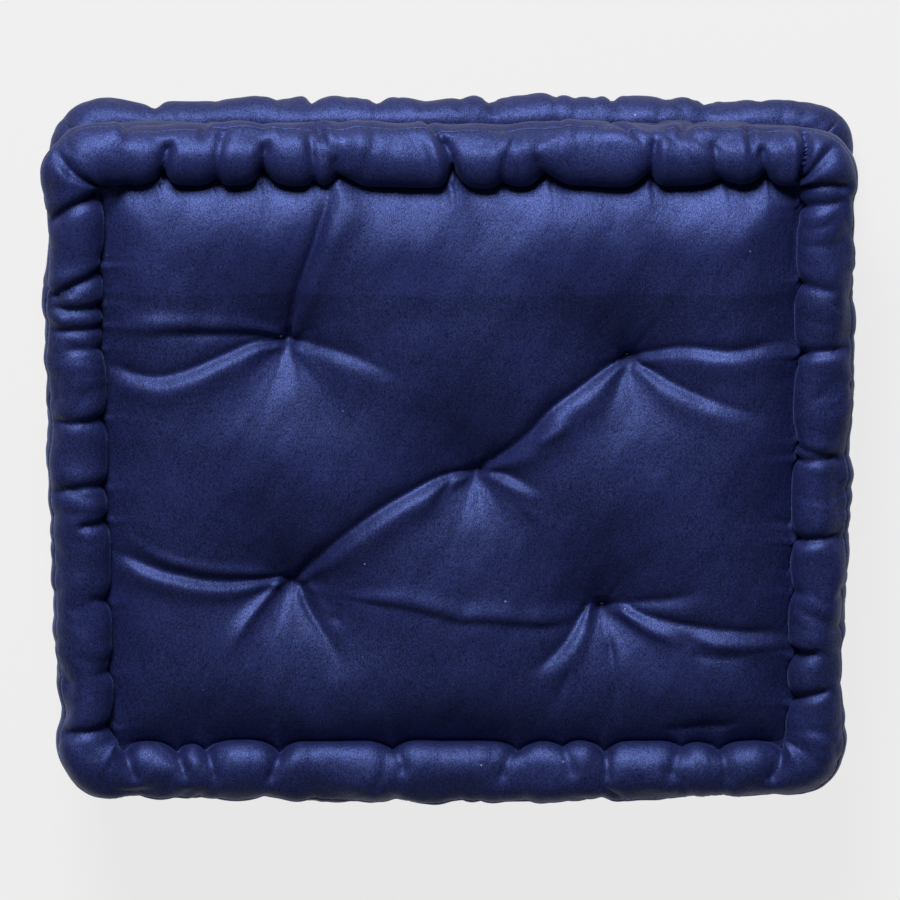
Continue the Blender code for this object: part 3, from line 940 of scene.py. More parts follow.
def scattered_folds(sizes: CushionSizes, seed: int, each: int = 6) -> tuple:
    """Folds that run out of each tuft at random, and from most tufts to the middle one.

    Args:
        sizes: The cushion's sizes.
        seed: Seed of the random directions.
        each: How many folds run out of one tuft.

    Returns:
        The folds.
    """
    random = np.random.default_rng(seed)
    centre = np.array(sizes.tufts["centre"]) / MM
    edge = np.array([196, 166])
    folds = []
    for name, place in sizes.tufts.items():
        tuft = np.array(place) / MM
        first = random.uniform(0, math.tau)
        for k in range(each):
            turn = first + (k + random.uniform(-0.3, 0.3)) * math.tau / each
            reach = random.uniform(45, 100)
            way = np.array([math.cos(turn), math.sin(turn)])
            beside = np.array([-way[1], way[0]]) * random.uniform(-9, 9)
            end = np.clip(tuft + way * reach, -edge, edge)
            path = (tuft, (tuft + end) / 2 + beside, end)
            valley, ridge = random.uniform(1.2, 3.0), random.uniform(0.8, 2.2)
            offset = random.choice([-4.6, 4.6])
            folds.append(Fold(path, valley, 2.6, ridge, offset, 3.6, ends=random.uniform(0.4, 0.7)))
        if name != "centre" and random.random() < 0.7:
            middle = (tuft + centre) / 2 + random.uniform(-6, 6, 2)
            folds.append(Fold((tuft, middle, centre), 3.2, 2.8, 1.8, 4.4, 3.4, 0.0, 0.05, 0.05))
    return tuple(folds)


@dataclass
class CoverShape:
    """The cover's three grids: the ring (column, row, 3) and the two faces (across + 1, along + 1, 3)."""

    ring: np.ndarray
    upper: np.ndarray
    lower: np.ndarray

    @classmethod
    def worked_out(cls, sizes: CushionSizes, cell: float, narrowing: float = 0.013) -> "CoverShape":
        """Works the cover out from its formulas, and draws it in towards its far side.

        Args:
            sizes: The cushion's sizes.
            cell: Distance between grid lines.
            narrowing: Share by which the width falls from the middle to the far side.

        Returns:
            The shape.
        """
        across = 2 * round((sizes.width - 2 * sizes.groove_inset) / cell / 2)
        along = 2 * round((sizes.length - 2 * sizes.groove_inset) / cell / 2)
        plan = Plan(sizes, across, along)
        section = RollSection.make(sizes, cell)
        ring = RolledEdge(sizes, plan, section).points()
        rim = plan.ring(section.insets[:1])[0][:, 0]
        top = TuftedFace(sizes, Face.UPPER, UPPER_FOLDS, seed=31)
        bottom = TuftedFace(sizes, Face.LOWER, scattered_folds(sizes, seed=8), seed=41)
        faces = [top.points(ring[:, 0], rim, across, along), bottom.points(ring[:, -1], rim, across, along)]
        grids = (ring, *faces)
        for grid in grids:
            grid[..., 0] *= 1 - narrowing * grid[..., 1] / (sizes.length / 2)
        return cls(*grids)

    def rested(self, skin: float = 2.5 * MM) -> "CoverShape":
        """Rests the shape on a floor: below the skin, a height z becomes skin exp((z - skin) / skin).

        Args:
            skin: Height under which the cloth is squeezed.

        Returns:
            This shape.
        """
        for grid in (self.ring, self.upper, self.lower):
            z = grid[..., 2]
            grid[..., 2] = np.where(z < skin, skin * np.exp((np.minimum(z, skin) - skin) / skin), z)
        return self

    def changed_by(self, change: "CoverShape") -> "CoverShape":
        """The shape with a coarser shape's displacements spread over its grids and added."""
        return CoverShape(
            self.ring + resampled(change.ring, self.ring.shape, wraps=True),
            self.upper + resampled(change.upper, self.upper.shape),
            self.lower + resampled(change.lower, self.lower.shape),
        )


def resampled(grid: np.ndarray, shape: tuple, wraps: bool = False) -> np.ndarray:
    """A grid of vectors on more grid lines, by linear interpolation along each of its two directions.

    Args:
        grid: Values (u, v, 3).
        shape: Wanted shape.
        wraps: Whether the first direction closes on itself.

    Returns:
        The values on the wanted grid.
    """
    if wraps:
        grid = np.concatenate([grid, grid[:1]])
    for axis in (0, 1):
        last = grid.shape[axis] - 1
        where = np.linspace(0, last, shape[axis], endpoint=not (wraps and axis == 0))
        low = np.minimum(where.astype(int), last - 1)
        share = (where - low).reshape((-1, 1, 1) if axis == 0 else (1, -1, 1))
        grid = np.take(grid, low, axis) * (1 - share) + np.take(grid, low + 1, axis) * share
    return grid


def softened(grid: np.ndarray, wraps: bool = False) -> np.ndarray:
    """A grid of vectors averaged with its neighbours by 1/4, 1/2, 1/4 along both directions.

    Args:
        grid: Values (u, v, 3), whose border stays as it is unless it wraps.
        wraps: Whether the first direction closes on itself.

    Returns:
        The averaged grid.
    """
    result = grid.copy()
    result[:, 1:-1] = 0.25 * grid[:, :-2] + 0.5 * grid[:, 1:-1] + 0.25 * grid[:, 2:]
    if wraps:
        return 0.25 * np.roll(result, 1, 0) + 0.5 * result + 0.25 * np.roll(result, -1, 0)
    both = result.copy()
    both[1:-1] = 0.25 * result[:-2] + 0.5 * result[1:-1] + 0.25 * result[2:]
    both[:, [0, -1]] = grid[:, [0, -1]]
    return both


@dataclass
class CoverMesh:
    """The cover's grids as one closed net of numbered points.

    Attributes:
        points: All the points, one in each row.
        ring: Point numbers of the ring, as (column, row).
        upper: Point numbers of the upper face.
        lower: Point numbers of the lower face.
    """

    points: np.ndarray
    ring: np.ndarray
    upper: np.ndarray
    lower: np.ndarray

    @classmethod
    def of(cls, shape: CoverShape) -> "CoverMesh":
        """Numbers the points of a shape, the faces' borders being the ring's own first and last rows.

        Args:
            shape: The cover's grids.

        Returns:
            The net.
        """
        ring = np.arange(shape.ring.shape[0] * shape.ring.shape[1]).reshape(shape.ring.shape[:2])
        parts, numbered, count = [shape.ring.reshape(-1, 3)], [], ring.size
        for grid, rim in ((shape.upper, ring[:, 0]), (shape.lower, ring[:, -1])):
            across, along = grid.shape[0] - 1, grid.shape[1] - 1
            numbers = np.zeros(grid.shape[:2], int)
            inside = (across - 1) * (along - 1)
            numbers[1:-1, 1:-1] = count + np.arange(inside).reshape(across - 1, along - 1)
            for place, edge in zip(BORDER, rim_parts(rim, across, along)):
                numbers[place] = edge
            parts.append(grid[1:-1, 1:-1].reshape(-1, 3))
            count += inside
            numbered.append(numbers)
        return cls(np.concatenate(parts), ring, *numbered)

    def ring_quads(self, columns: np.ndarray, rows: slice) -> np.ndarray:
        """Quads of the ring between the given rows, for each of the columns and its next one."""
        first, following = self.ring[columns][:, rows], self.ring[(columns + 1) % len(self.ring)][:, rows]
        corners = (first[:, :-1], first[:, 1:], following[:, 1:], following[:, :-1])
        return np.stack(corners, axis=2).reshape(-1, 4)

    def face_quads(self, face: Face) -> np.ndarray:
        """Quads of one face, turned outwards."""
        quads = quads_of(self.upper if face is Face.UPPER else self.lower)
        return quads if face is Face.UPPER else quads[:, ::-1]

    def shape(self, points: np.ndarray) -> CoverShape:
        """The grids of the net with other points in place of its own."""
        return CoverShape(points[self.ring], points[self.upper], points[self.lower])


# ---------------------------------------------------------------- meshes


def new_mesh(name: str, points: np.ndarray, faces: np.ndarray) -> bpy.types.Object:
    """An object at the origin made of points and faces that all have the same number of corners.

    Args:
        name: Name of the object.
        points: Points, one in each row.
        faces: Point numbers, one face in each row.

    Returns:
        The object, smooth shaded, in the scene's collection.
    """
    mesh = bpy.data.meshes.new(name)
    mesh.vertices.add(len(points))
    mesh.vertices.foreach_set("co", np.ascontiguousarray(points, np.float32).ravel())
    mesh.loops.add(faces.size)
    mesh.loops.foreach_set("vertex_index", np.ascontiguousarray(faces, np.int32).ravel())
    mesh.polygons.add(len(faces))
    mesh.polygons.foreach_set("loop_start", np.arange(0, faces.size, faces.shape[1], dtype=np.int32))
    mesh.polygons.foreach_set("use_smooth", np.ones(len(faces), bool))
    mesh.update(calc_edges=True)
    mesh.validate()
    made = bpy.data.objects.new(name, mesh)
    bpy.context.scene.collection.objects.link(made)
    return made


def quads_of(numbers: np.ndarray) -> np.ndarray:
    """Quads of a grid of point numbers."""
    corners = (numbers[:-1, :-1], numbers[1:, :-1], numbers[1:, 1:], numbers[:-1, 1:])
    return np.stack(corners, axis=2).reshape(-1, 4)


def grid_quads(rows: int, columns: int, rows_wrap: bool, columns_wrap: bool) -> np.ndarray:
    """Quads of a grid of points numbered row by row, that may close on itself either way.

    Args:
        rows: Number of rows.
        columns: Number of columns.
        rows_wrap: Whether the last row joins the first.
        columns_wrap: Whether the last column joins the first.

    Returns:
        Point numbers, one quad in each row.
    """
    numbers = np.arange(rows * columns).reshape(rows, columns)
    return quads_of(np.pad(numbers, ((0, int(rows_wrap)), (0, int(columns_wrap))), mode="wrap"))


def part_of(points: np.ndarray, faces: np.ndarray) -> tuple:
    """The points that the faces use, and the faces renumbered to them."""
    used, numbers = np.unique(faces, return_inverse=True)
    return points[used], numbers.reshape(faces.shape)


def vertex_normals(points: np.ndarray, faces: np.ndarray) -> np.ndarray:
    """Unit normals of points: each face's cross product of its diagonals, summed over its corners.

    Args:
        points: The points.
        faces: The quads, one in each row.

    Returns:
        The normals, one for each point.
    """
    square = np.cross(points[faces[:, 2]] - points[faces[:, 0]], points[faces[:, 3]] - points[faces[:, 1]])
    normals = np.zeros(points.shape)
    for corner in range(4):
        np.add.at(normals, faces[:, corner], square)
    return unit(normals)


def rim_edges(faces: np.ndarray) -> np.ndarray:
    """Edges that only one face uses.

    Args:
        faces: The quads.

    Returns:
        Point numbers, one edge in each row, in its face's direction.
    """
    edges = np.stack([faces, np.roll(faces, -1, axis=1)], axis=2).reshape(-1, 2)
    keys = edges.min(1) * (faces.max() + 1) + edges.max(1)
    _, where, uses = np.unique(keys, return_index=True, return_counts=True)
    return edges[where[uses == 1]]


def with_thickness(points: np.ndarray, faces: np.ndarray, inwards: np.ndarray) -> tuple:
    """A sheet's points and faces with a second skin inside it and a wall round its rim.

    Args:
        points: Points of the outer skin.
        faces: Its quads.
        inwards: How far each point's partner lies from it, as vectors.

    Returns:
        Points and quads of the closed shell.
    """
    count, rim = len(points), rim_edges(faces)
    wall = np.stack([rim[:, 1], rim[:, 0], rim[:, 0] + count, rim[:, 1] + count], axis=1)
    return np.vstack([points, points + inwards]), np.vstack([faces, faces[:, ::-1] + count, wall])


def tube(path: np.ndarray, radius: np.ndarray, up: np.ndarray, sides: int, closed: bool) -> tuple:
    """A tube along a path: circles about each point, in the plane of up and up x tangent.

    Args:
        path: Points of the path.
        radius: Radius at each point.
        up: A direction across the path at each point.
        sides: Corners of each circle.
        closed: Whether the path closes on itself. If it doesn't, both ends are drawn in to a point.

    Returns:
        Points and quads.
    """
    if closed:
        tangent = np.roll(path, -1, axis=0) - np.roll(path, 1, axis=0)
    else:
        tangent = np.gradient(path, axis=0)
        path = np.vstack([path[0] - 0.3 * tangent[0], path, path[-1] + 0.3 * tangent[-1]])
        tangent = np.vstack([tangent[:1], tangent, tangent[-1:]])
        radius = np.concatenate([[radius[0] * 0.02], radius, [radius[-1] * 0.02]])
        up = np.vstack([up[:1], up, up[-1:]])
    tangent = unit(tangent)
    beside = unit(np.cross(tangent, up))
    above = np.cross(beside, tangent)
    turn = np.arange(sides) / sides * math.tau
    circle = np.cos(turn)[None, :, None] * beside[:, None] + np.sin(turn)[None, :, None] * above[:, None]
    points = path[:, None] + radius[:, None, None] * circle
    return points.reshape(-1, 3), grid_quads(len(path), sides, closed, True)


# ---------------------------------------------------------------- the cloth's own relaxing


@dataclass(frozen=True)
class ClothRelaxing:
    """A short cloth simulation of the closed cover, blown up by its filling and held at its stitches.

    Attributes:
        cell: Distance between the grid lines of the simulated cover.
        pressure: Pressure of the filling.
        slack: How much too large the cloth is cut, as a share.
        most: The furthest that a point may move.
        grip: How far from a tuft the cloth is held.
        frames: Number of frames.
        softenings: How many times the movement is averaged with its neighbours'.
    """

    cell: float = 4.2 * MM
    pressure: float = 4.0
    slack: float = 0.014
    most: float = 3.4 * MM
    grip: float = 7 * MM
    frames: int = 20
    softenings: int = 5

    def change(self, sizes: CushionSizes) -> CoverShape:
        """Runs the simulation, and keeps the share of each point's movement that is square to the cloth.

        Args:
            sizes: The cushion's sizes.

        Returns:
            How far each point of the coarse cover moves.
        """
        net = CoverMesh.of(CoverShape.worked_out(sizes, self.cell))
        ring = net.ring_quads(np.arange(len(net.ring)), slice(None))
        quads = np.vstack([ring, net.face_quads(Face.UPPER), net.face_quads(Face.LOWER)])
        cloth = new_mesh("relaxing_cover", net.points, quads)
        held = cloth.vertex_groups.new(name="held")
        held.add([int(k) for k in self.holding(net, sizes)], 1.0, "REPLACE")
        self.set_up(cloth.modifiers.new("Cloth", "CLOTH"))
        scene = bpy.context.scene
        for number in range(1, self.frames + 1):
            scene.frame_set(number)
        settled = cloth.evaluated_get(bpy.context.evaluated_depsgraph_get()).to_mesh()
        moved = np.zeros(len(net.points) * 3, np.float32)
        settled.vertices.foreach_get("co", moved)
        scene.frame_set(1)
        bpy.data.objects.remove(cloth)
        change = moved.reshape(-1, 3) - net.points
        size = np.linalg.norm(change, axis=1)
        LOG.info("cloth relaxed: mean %.2f mm, most %.2f mm", size.mean() / MM, size.max() / MM)
        out = vertex_normals(net.points, quads)
        rise = (change * out).sum(1)[:, None]
        moves = net.shape(self.most * np.tanh(rise / self.most) * out)
        for _ in range(self.softenings):
            moves = CoverShape(softened(moves.ring, wraps=True), softened(moves.upper), softened(moves.lower))
        return moves

    def set_up(self, modifier: bpy.types.Modifier) -> None:
        """Gives the simulation its settings.

        Args:
            modifier: The cloth modifier.
        """
        settings = {
            "quality": 6,
            "mass": 0.3,
            "tension_stiffness": 18,
            "compression_stiffness": 18,
            "shear_stiffness": 6,
            "bending_stiffness": 1.2,
            "use_pressure": True,
            "uniform_pressure_force": self.pressure,
            "shrink_min": -self.slack,
            "vertex_group_mass": "held",
            "pin_stiffness": 1.0,
        }
        for key, value in settings.items():
            setattr(modifier.settings, key, value)
        modifier.settings.effector_weights.gravity = 0
        modifier.collision_settings.use_collision = False
        modifier.point_cache.frame_start = 1
        modifier.point_cache.frame_end = self.frames

    def holding(self, net: CoverMesh, sizes: CushionSizes) -> np.ndarray:
        """Numbers of the points that the stitches hold: those at the tufts and in the grooves.

        Args:
            net: The coarse cover.
            sizes: The cushion's sizes.

        Returns:
            The point numbers.
        """
        held = np.zeros(len(net.points), bool)
        held[net.ring[:, [0, -1]]] = True
        for x, y in sizes.tufts.values():
            held |= np.hypot(net.points[:, 0] - x, net.points[:, 1] - y) < self.grip
        return np.flatnonzero(held)


# ---------------------------------------------------------------- finishes


class Shader:
    """A material's node tree, with short ways to add and link its nodes."""

    def __init__(self, name: str) -> None:
        """Makes an empty node material."""
        self.material = bpy.data.materials.new(name)
        self.material.use_nodes = True
        self.tree = self.material.node_tree
        self.tree.nodes.clear()

    def add(self, kind: str, inputs: dict, output: int = 0, **settings: object) -> bpy.types.NodeSocket:
        """Adds a node.

        Args:
            kind: The node's type, without its ShaderNode prefix.
            inputs: For some of its inputs, a value or the socket that feeds it.
            output: Number of the output to hand back.
            settings: The node's own settings.

        Returns:
            The node's output.
        """
        node = self.tree.nodes.new("ShaderNode" + kind)
        for key, value in settings.items():
            setattr(node, key, value)
        for key, value in inputs.items():
            if isinstance(value, bpy.types.NodeSocket):
                self.tree.links.new(value, node.inputs[key])
            else:
                node.inputs[key].default_value = value
        return node.outputs[output] if node.outputs else None

    def coordinates(self) -> bpy.types.NodeSocket:
        """The object's own coordinates."""
        return self.add("TexCoord", {}, output=3)

    def noise(self, where: bpy.types.NodeSocket, scale: float, detail: float) -> bpy.types.NodeSocket:
        """Noise, about 0 to 1."""
        return self.add("TexNoise", {"Vector": where, "Scale": scale, "Detail": detail})

    def ranged(
        self, value: bpy.types.NodeSocket, low: float, high: float, to_low: float, to_high: float
    ) -> bpy.types.NodeSocket:
        """The value carried from one range to another."""
        return self.add("MapRange", {0: value, 1: low, 2: high, 3: to_low, 4: to_high})

    def mixed(self, share: bpy.types.NodeSocket, a: object, b: object) -> bpy.types.NodeSocket:
        """A colour between two."""
        return self.add("Mix", {0: share, 6: a, 7: b}, output=2, data_type="RGBA")

    def math(self, operation: str, a: object, b: object) -> bpy.types.NodeSocket:
        """A sum done on two values."""
        return self.add("Math", {0: a, 1: b}, operation=operation)

    def bump(self, height: bpy.types.NodeSocket, strength: float, distance: float) -> bpy.types.NodeSocket:
        """A normal tilted by a height."""
        return self.add("Bump", {"Strength": strength, "Distance": distance, "Height": height})

    def finish(self, **inputs: object) -> bpy.types.Material:
        """Ends the tree in a Principled shader.

        Args:
            inputs: The shader's inputs, spelt with underscores for spaces.

        Returns:
            The material.
        """
        named = {key.replace("_", " "): value for key, value in inputs.items()}
        self.add("OutputMaterial", {"Surface": self.add("BsdfPrincipled", named)})
        return self.material


@dataclass(frozen=True)
class Velvet:
    """Navy velvet: a dark pile that shines blue where it's brushed towards the light.

    Attributes:
        deep: Colour at the roots of the pile.
        lit: Colour of the pile's tips.
        dull: Colour of the gloss where the pile stands up.
        shine: Colour of the gloss where it lies down.
        lint: Colour of the specks of lint.
        press_line: Whether a faint straight line is pressed across it.
    """

    deep: tuple = (0.0027, 0.0034, 0.019, 1)
    lit: tuple = (0.0078, 0.0104, 0.054, 1)
    dull: tuple = (0.052, 0.076, 0.215, 1)
    shine: tuple = (0.225, 0.320, 0.885, 1)
    lint: tuple = (0.22, 0.24, 0.34, 1)
    press_line: bool = False

    def make(self) -> bpy.types.Material:
        """Makes the material: a fine grain in colour, gloss and height, with coarser brushing over it.

        Returns:
            The material.
        """
        shader = Shader("navy_velvet" + ("_pressed" if self.press_line else ""))
        where = shader.coordinates()
        combed = shader.add("Mapping", {"Vector": where, "Scale": (1.0, 0.45, 1.0)})
        grain = shader.noise(combed, 1900, 4)
        tufts = shader.noise(combed, 420, 3)
        brushed = shader.noise(where, 30, 4)
        share = shader.math("ADD", shader.ranged(grain, 0.35, 0.65, -0.5, 0.5), brushed)
        share = shader.math("ADD", share, shader.ranged(tufts, 0.3, 0.7, -0.25, 0.25))
        if self.press_line:
            split = shader.add("SeparateXYZ", {0: where}, output=1)
            across = shader.ranged(split, -0.1005, -0.0985, 0.14, -0.26)
            fades = shader.ranged(split, -0.070, -0.0985, 0.0, 1.0)
            share = shader.math("ADD", share, shader.math("MULTIPLY", across, fades))
        flecks = shader.add("TexVoronoi", {"Vector": where, "Scale": 95.0})
        spots = shader.ranged(shader.noise(where, 60, 1), 0.62, 0.66, 0.0, 1.0)
        lint = shader.math("MULTIPLY", shader.ranged(flecks, 0.060, 0.042, 0.0, 0.55), spots)
        height = shader.math("ADD", shader.math("MULTIPLY", grain, 0.55), tufts)
        return shader.finish(
            Base_Color=shader.mixed(lint, shader.mixed(share, self.deep, self.lit), self.lint),
            Roughness=shader.ranged(brushed, 0.3, 0.7, 0.58, 0.50),
            IOR=1.6,
            Specular_IOR_Level=1.0,
            Specular_Tint=shader.mixed(shader.ranged(grain, 0.33, 0.67, 0.0, 1.0), self.dull, self.shine),
            Sheen_Weight=0.13,
            Sheen_Roughness=0.30,
            Sheen_Tint=self.shine,
            Normal=shader.bump(height, 0.6, 0.5 * MM),
        )


@dataclass(frozen=True)
class Thread:
    """Twisted yarn, in one colour that wanders a little along it.

    Attributes:
        name: Name of the material.
        dark: Colour between the strands.
        light: Colour on top of them.
        scale: How fine the strands are.
        roughness: How matt it is.
    """

    name: str
    dark: tuple
    light: tuple
    scale: float
    roughness: float

    def make(self) -> bpy.types.Material:
        """Makes the material: slanting strands broken up by noise.

        Returns:
            The material.
        """
        shader = Shader(self.name)
        where = shader.coordinates()
        wave = {"Vector": where, "Scale": self.scale / 6, "Distortion": 4.0}
        strands = shader.add("TexWave", wave, bands_direction="DIAGONAL")
        strands = shader.math("MULTIPLY", strands, shader.noise(where, self.scale, 3))
        return shader.finish(
            Base_Color=shader.mixed(shader.ranged(strands, 0.1, 0.6, 0, 1), self.dark, self.light),
            Roughness=self.roughness,
            Sheen_Weight=0.2,
            Normal=shader.bump(strands, 0.5, 0.3 * MM),
        )


NAVY_THREAD = Thread("navy_thread", (0.003, 0.0045, 0.018, 1), (0.012, 0.016, 0.06, 1), 900.0, 0.8)
TWINE = Thread("waxed_twine", (0.002, 0.003, 0.010, 1), (0.010, 0.013, 0.04, 1), 1400.0, 0.8)
FIBRE = Thread("pale_fibre", (0.48, 0.45, 0.38, 1), (0.80, 0.77, 0.70, 1), 420.0, 0.95)


@dataclass(frozen=True)
class PaleFloor:
    """A pale, evenly lit floor, as of a studio table lit from below.

    Attributes:
        glow: Strength of its own light.
    """

    glow: float = 0.795

    def make(self) -> bpy.types.Material:
        """Makes the material: nearly even grey with a light of its own.

        Returns:
            The material.
        """
        shader = Shader("pale_floor")
        clouds = shader.noise(shader.coordinates(), 3, 2)
        return shader.finish(
            Base_Color=shader.mixed(clouds, (0.043, 0.043, 0.043, 1), (0.047, 0.047, 0.047, 1)),
            Roughness=0.9,
            Specular_IOR_Level=0.0,
            Emission_Color=(1.0, 1.0, 1.0, 1),
            Emission_Strength=self.glow,
        )


def dress(piece: bpy.types.Object, material: bpy.types.Material, slot: str, *nodes: str) -> None:
    """Gives a piece its finish, and puts it on the body in place of its CAD nodes.

    Args:
        piece: The piece.
        material: Its finish.
        slot: The record's material slot.
        nodes: The CAD nodes that it stands for.
    """
    piece.data.materials.append(material)
    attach(piece, BODY)
    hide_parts(*nodes)
    LOG.info("%s: %d faces, %s, for %s", piece.name, len(piece.data.polygons), slot, ", ".join(nodes))


# ---------------------------------------------------------------- sub-assemblies


@dataclass
class VelvetCover:
    """The six panels of the cover, cut out of the closed net along the seams.

    Attributes:
        shape: The cover's grids.
        section: The section its ring was made from.
        fabric: Thickness of the velvet with its backing.
        seam_dip: How far the cloth is drawn in at a seam.
        seam_width: How far to each side of a seam that is felt.
    """

    sizes: CushionSizes
    shape: CoverShape
    section: RollSection
    fabric: float = 1.2 * MM
    seam_dip: float = 0.25 * MM
    seam_width: float = 1.1 * MM
    pieces: dict = field(default_factory=dict)

    SEAM_ANGLE = math.radians(26)

    def seam_rows(self) -> tuple:
        """The ring's rows that the upper and the lower seam follow."""
        gap = np.abs(self.section.overs - self.sizes.roll_radius * (self.SEAM_ANGLE - math.pi / 2))
        return tuple(int(np.argmin(gap + (self.section.rolls != roll))) for roll in (1, -1))

    def corner_columns(self) -> list:
        """The ring's columns at the four corners, from the near right one."""
        across, along = self.shape.upper.shape[0] - 1, self.shape.upper.shape[1] - 1
        return [0, along, along + across, 2 * along + across]

    def sink_seams(self) -> None:
        """Draws the cloth in along the seams, as a sharp dip exp(-distance / seam width)."""
        ring = self.shape.ring
        columns, rows = (np.arange(count) for count in ring.shape[:2])
        tangents = np.gradient(ring, axis=1)
        outward = unit(np.cross(tangents, np.roll(ring, -1, axis=0) - np.roll(ring, 1, axis=0)))
        steps = np.linalg.norm(tangents, axis=2)
        down = np.concatenate([np.zeros((len(ring), 1)), np.cumsum(steps[:, 1:], axis=1)], axis=1)
        dip = np.zeros(ring.shape[:2])
        upper, lower = self.seam_rows()
        for row in (upper, lower):
            dip += crest(down - down[:, row : row + 1], self.seam_width, 0.3 * MM)
        spacing = Plan(self.sizes, 1, 1).round_length() / len(ring)
        boxing = (rows > upper) & (rows < lower)
        for corner in self.corner_columns():
            away = np.abs((columns - corner + len(ring) / 2) % len(ring) - len(ring) / 2) * spacing
            dip += crest(away, self.seam_width, 0.3 * MM)[:, None] * boxing[None, :]
        ring -= self.seam_dip * np.minimum(dip, 1)[..., None] * outward

    def build(self) -> None:
        """Cuts the panels out and gives them their thickness.

        Each panel's outer skin is its share of the net's quads, and its inner skin lies one fabric
        thickness inside along the point normals of the whole net.
        """
        self.sink_seams()
        net = CoverMesh.of(self.shape)
        every = np.arange(len(net.ring))
        upper, lower = self.seam_rows()
        corners = self.corner_columns() + [len(net.ring)]
        quads = {
            "upper_face_cover": [net.face_quads(Face.UPPER), net.ring_quads(every, slice(0, upper + 1))],
            "lower_face_cover": [net.face_quads(Face.LOWER), net.ring_quads(every, slice(lower, None))],
        }
        for side, first, last in zip(Side, corners, corners[1:]):
            columns = np.arange(first, last)
            quads[f"{side.name.lower()}_boxing_cover"] = [net.ring_quads(columns, slice(upper, lower + 1))]
        whole = np.vstack([part for parts in quads.values() for part in parts])
        inwards = -self.fabric * vertex_normals(net.points, whole)
        for name, parts in quads.items():
            faces = np.vstack(parts)
            points, numbered = part_of(net.points, faces)
            self.pieces[name] = new_mesh(name, *with_thickness(points, numbered, part_of(inwards, faces)[0]))

    def dress(self) -> None:
        plain, pressed = Velvet().make(), Velvet(press_line=True).make()
        for name, piece in self.pieces.items():
            finish = pressed if name == "upper_face_cover" else plain
            dress(piece, finish, "velvet", name.replace("_cover", "_panel"))


@dataclass
class Stitching:
    """The threads: the seams' own, and the hand stitching that holds each rolled edge.

    Attributes:
        cover: The cover that they follow.
        pitch: Length of one stitch of a seam with its gap.
        hand_pitch: The same for the hand stitching.
        radius: Radius of the thread.
    """

    cover: VelvetCover
    pitch: float = 3.4 * MM
    hand_pitch: float = 9 * MM
    radius: float = 0.2 * MM
    pieces: dict = field(default_factory=dict)

    CORNERS = ("near_right", "far_right", "far_left", "near_left")

    def stitched(self, node: str, path: np.ndarray, outward: np.ndarray, closed: bool, pitch: float) -> None:
        """A thread that rises out of the cloth and goes back in once in each pitch.

        Its height over the cloth is radius (1.3 cos(2 pi travel / pitch) - 0.7), on a path that is
        first shared out evenly in steps of a sixth of a stitch.

        Args:
            node: Name of its CAD node.
            path: Points along the cloth.
            outward: The cloth's outward directions there.
            closed: Whether the thread runs right round.
            pitch: Length of one stitch with its gap.
        """
        if closed:
            path, outward = np.vstack([path, path[:1]]), np.vstack([outward, outward[:1]])
        travel = np.concatenate([[0.0], np.cumsum(np.linalg.norm(np.diff(path, axis=0), axis=1))])
        stitches = max(round(travel[-1] / pitch), 2)
        where = np.linspace(0, travel[-1], stitches * 6 + 1)
        if closed:
            where = where[:-1]
        path, outward = (
            np.stack([np.interp(where, travel, values[:, k]) for k in range(3)], axis=1)
            for values in (path, outward)
        )
        rise = self.radius * (1.3 * np.cos(math.tau * where / travel[-1] * stitches) - 0.7)
        laid = path + rise[:, None] * outward
        shape = tube(laid, np.full(len(path), self.radius), outward, sides=6, closed=closed)
        self.pieces[node] = new_mesh(f"{node}_thread", *shape)

    def build(self) -> None:
        """Lays the threads: six right round along rows of the ring, and four down its corner columns."""
        ring = self.cover.shape.ring
        upper, lower = self.cover.seam_rows()
        last = ring.shape[1] - 1
        turn = np.flatnonzero(np.diff(self.cover.section.rolls))
        rows = {
            "upper_edge_seam": (upper, self.pitch),
            "lower_edge_seam": (lower, self.pitch),
            "upper_roll_stitching_face": (0, self.hand_pitch),
            "lower_roll_stitching_face": (last, self.hand_pitch),
            "upper_roll_stitching_boxing": (int(turn[0]), self.hand_pitch),
            "lower_roll_stitching_boxing": (int(turn[1]) + 1, self.hand_pitch),
        }
        for node, (row, pitch) in rows.items():
            down = ring[:, min(row + 1, last)] - ring[:, max(row - 1, 0)]
            around = np.roll(ring[:, row], -1, axis=0) - np.roll(ring[:, row], 1, axis=0)
            self.stitched(node, ring[:, row], unit(np.cross(down, around)), True, pitch)
        for name, column in zip(self.CORNERS, self.cover.corner_columns()):
            path = ring[column, upper : lower + 1]
            around = (ring[(column + 1) % len(ring)] - ring[column - 1])[upper : lower + 1]
            outward = unit(np.cross(np.gradient(path, axis=0), around))
            self.stitched(f"corner_seam_{name}", path, outward, False, self.pitch)

    def dress(self) -> None:
        """Puts the thread on every stitched line."""
        finish = NAVY_THREAD.make()
        for node, piece in self.pieces.items():
            dress(piece, finish, "thread", node)


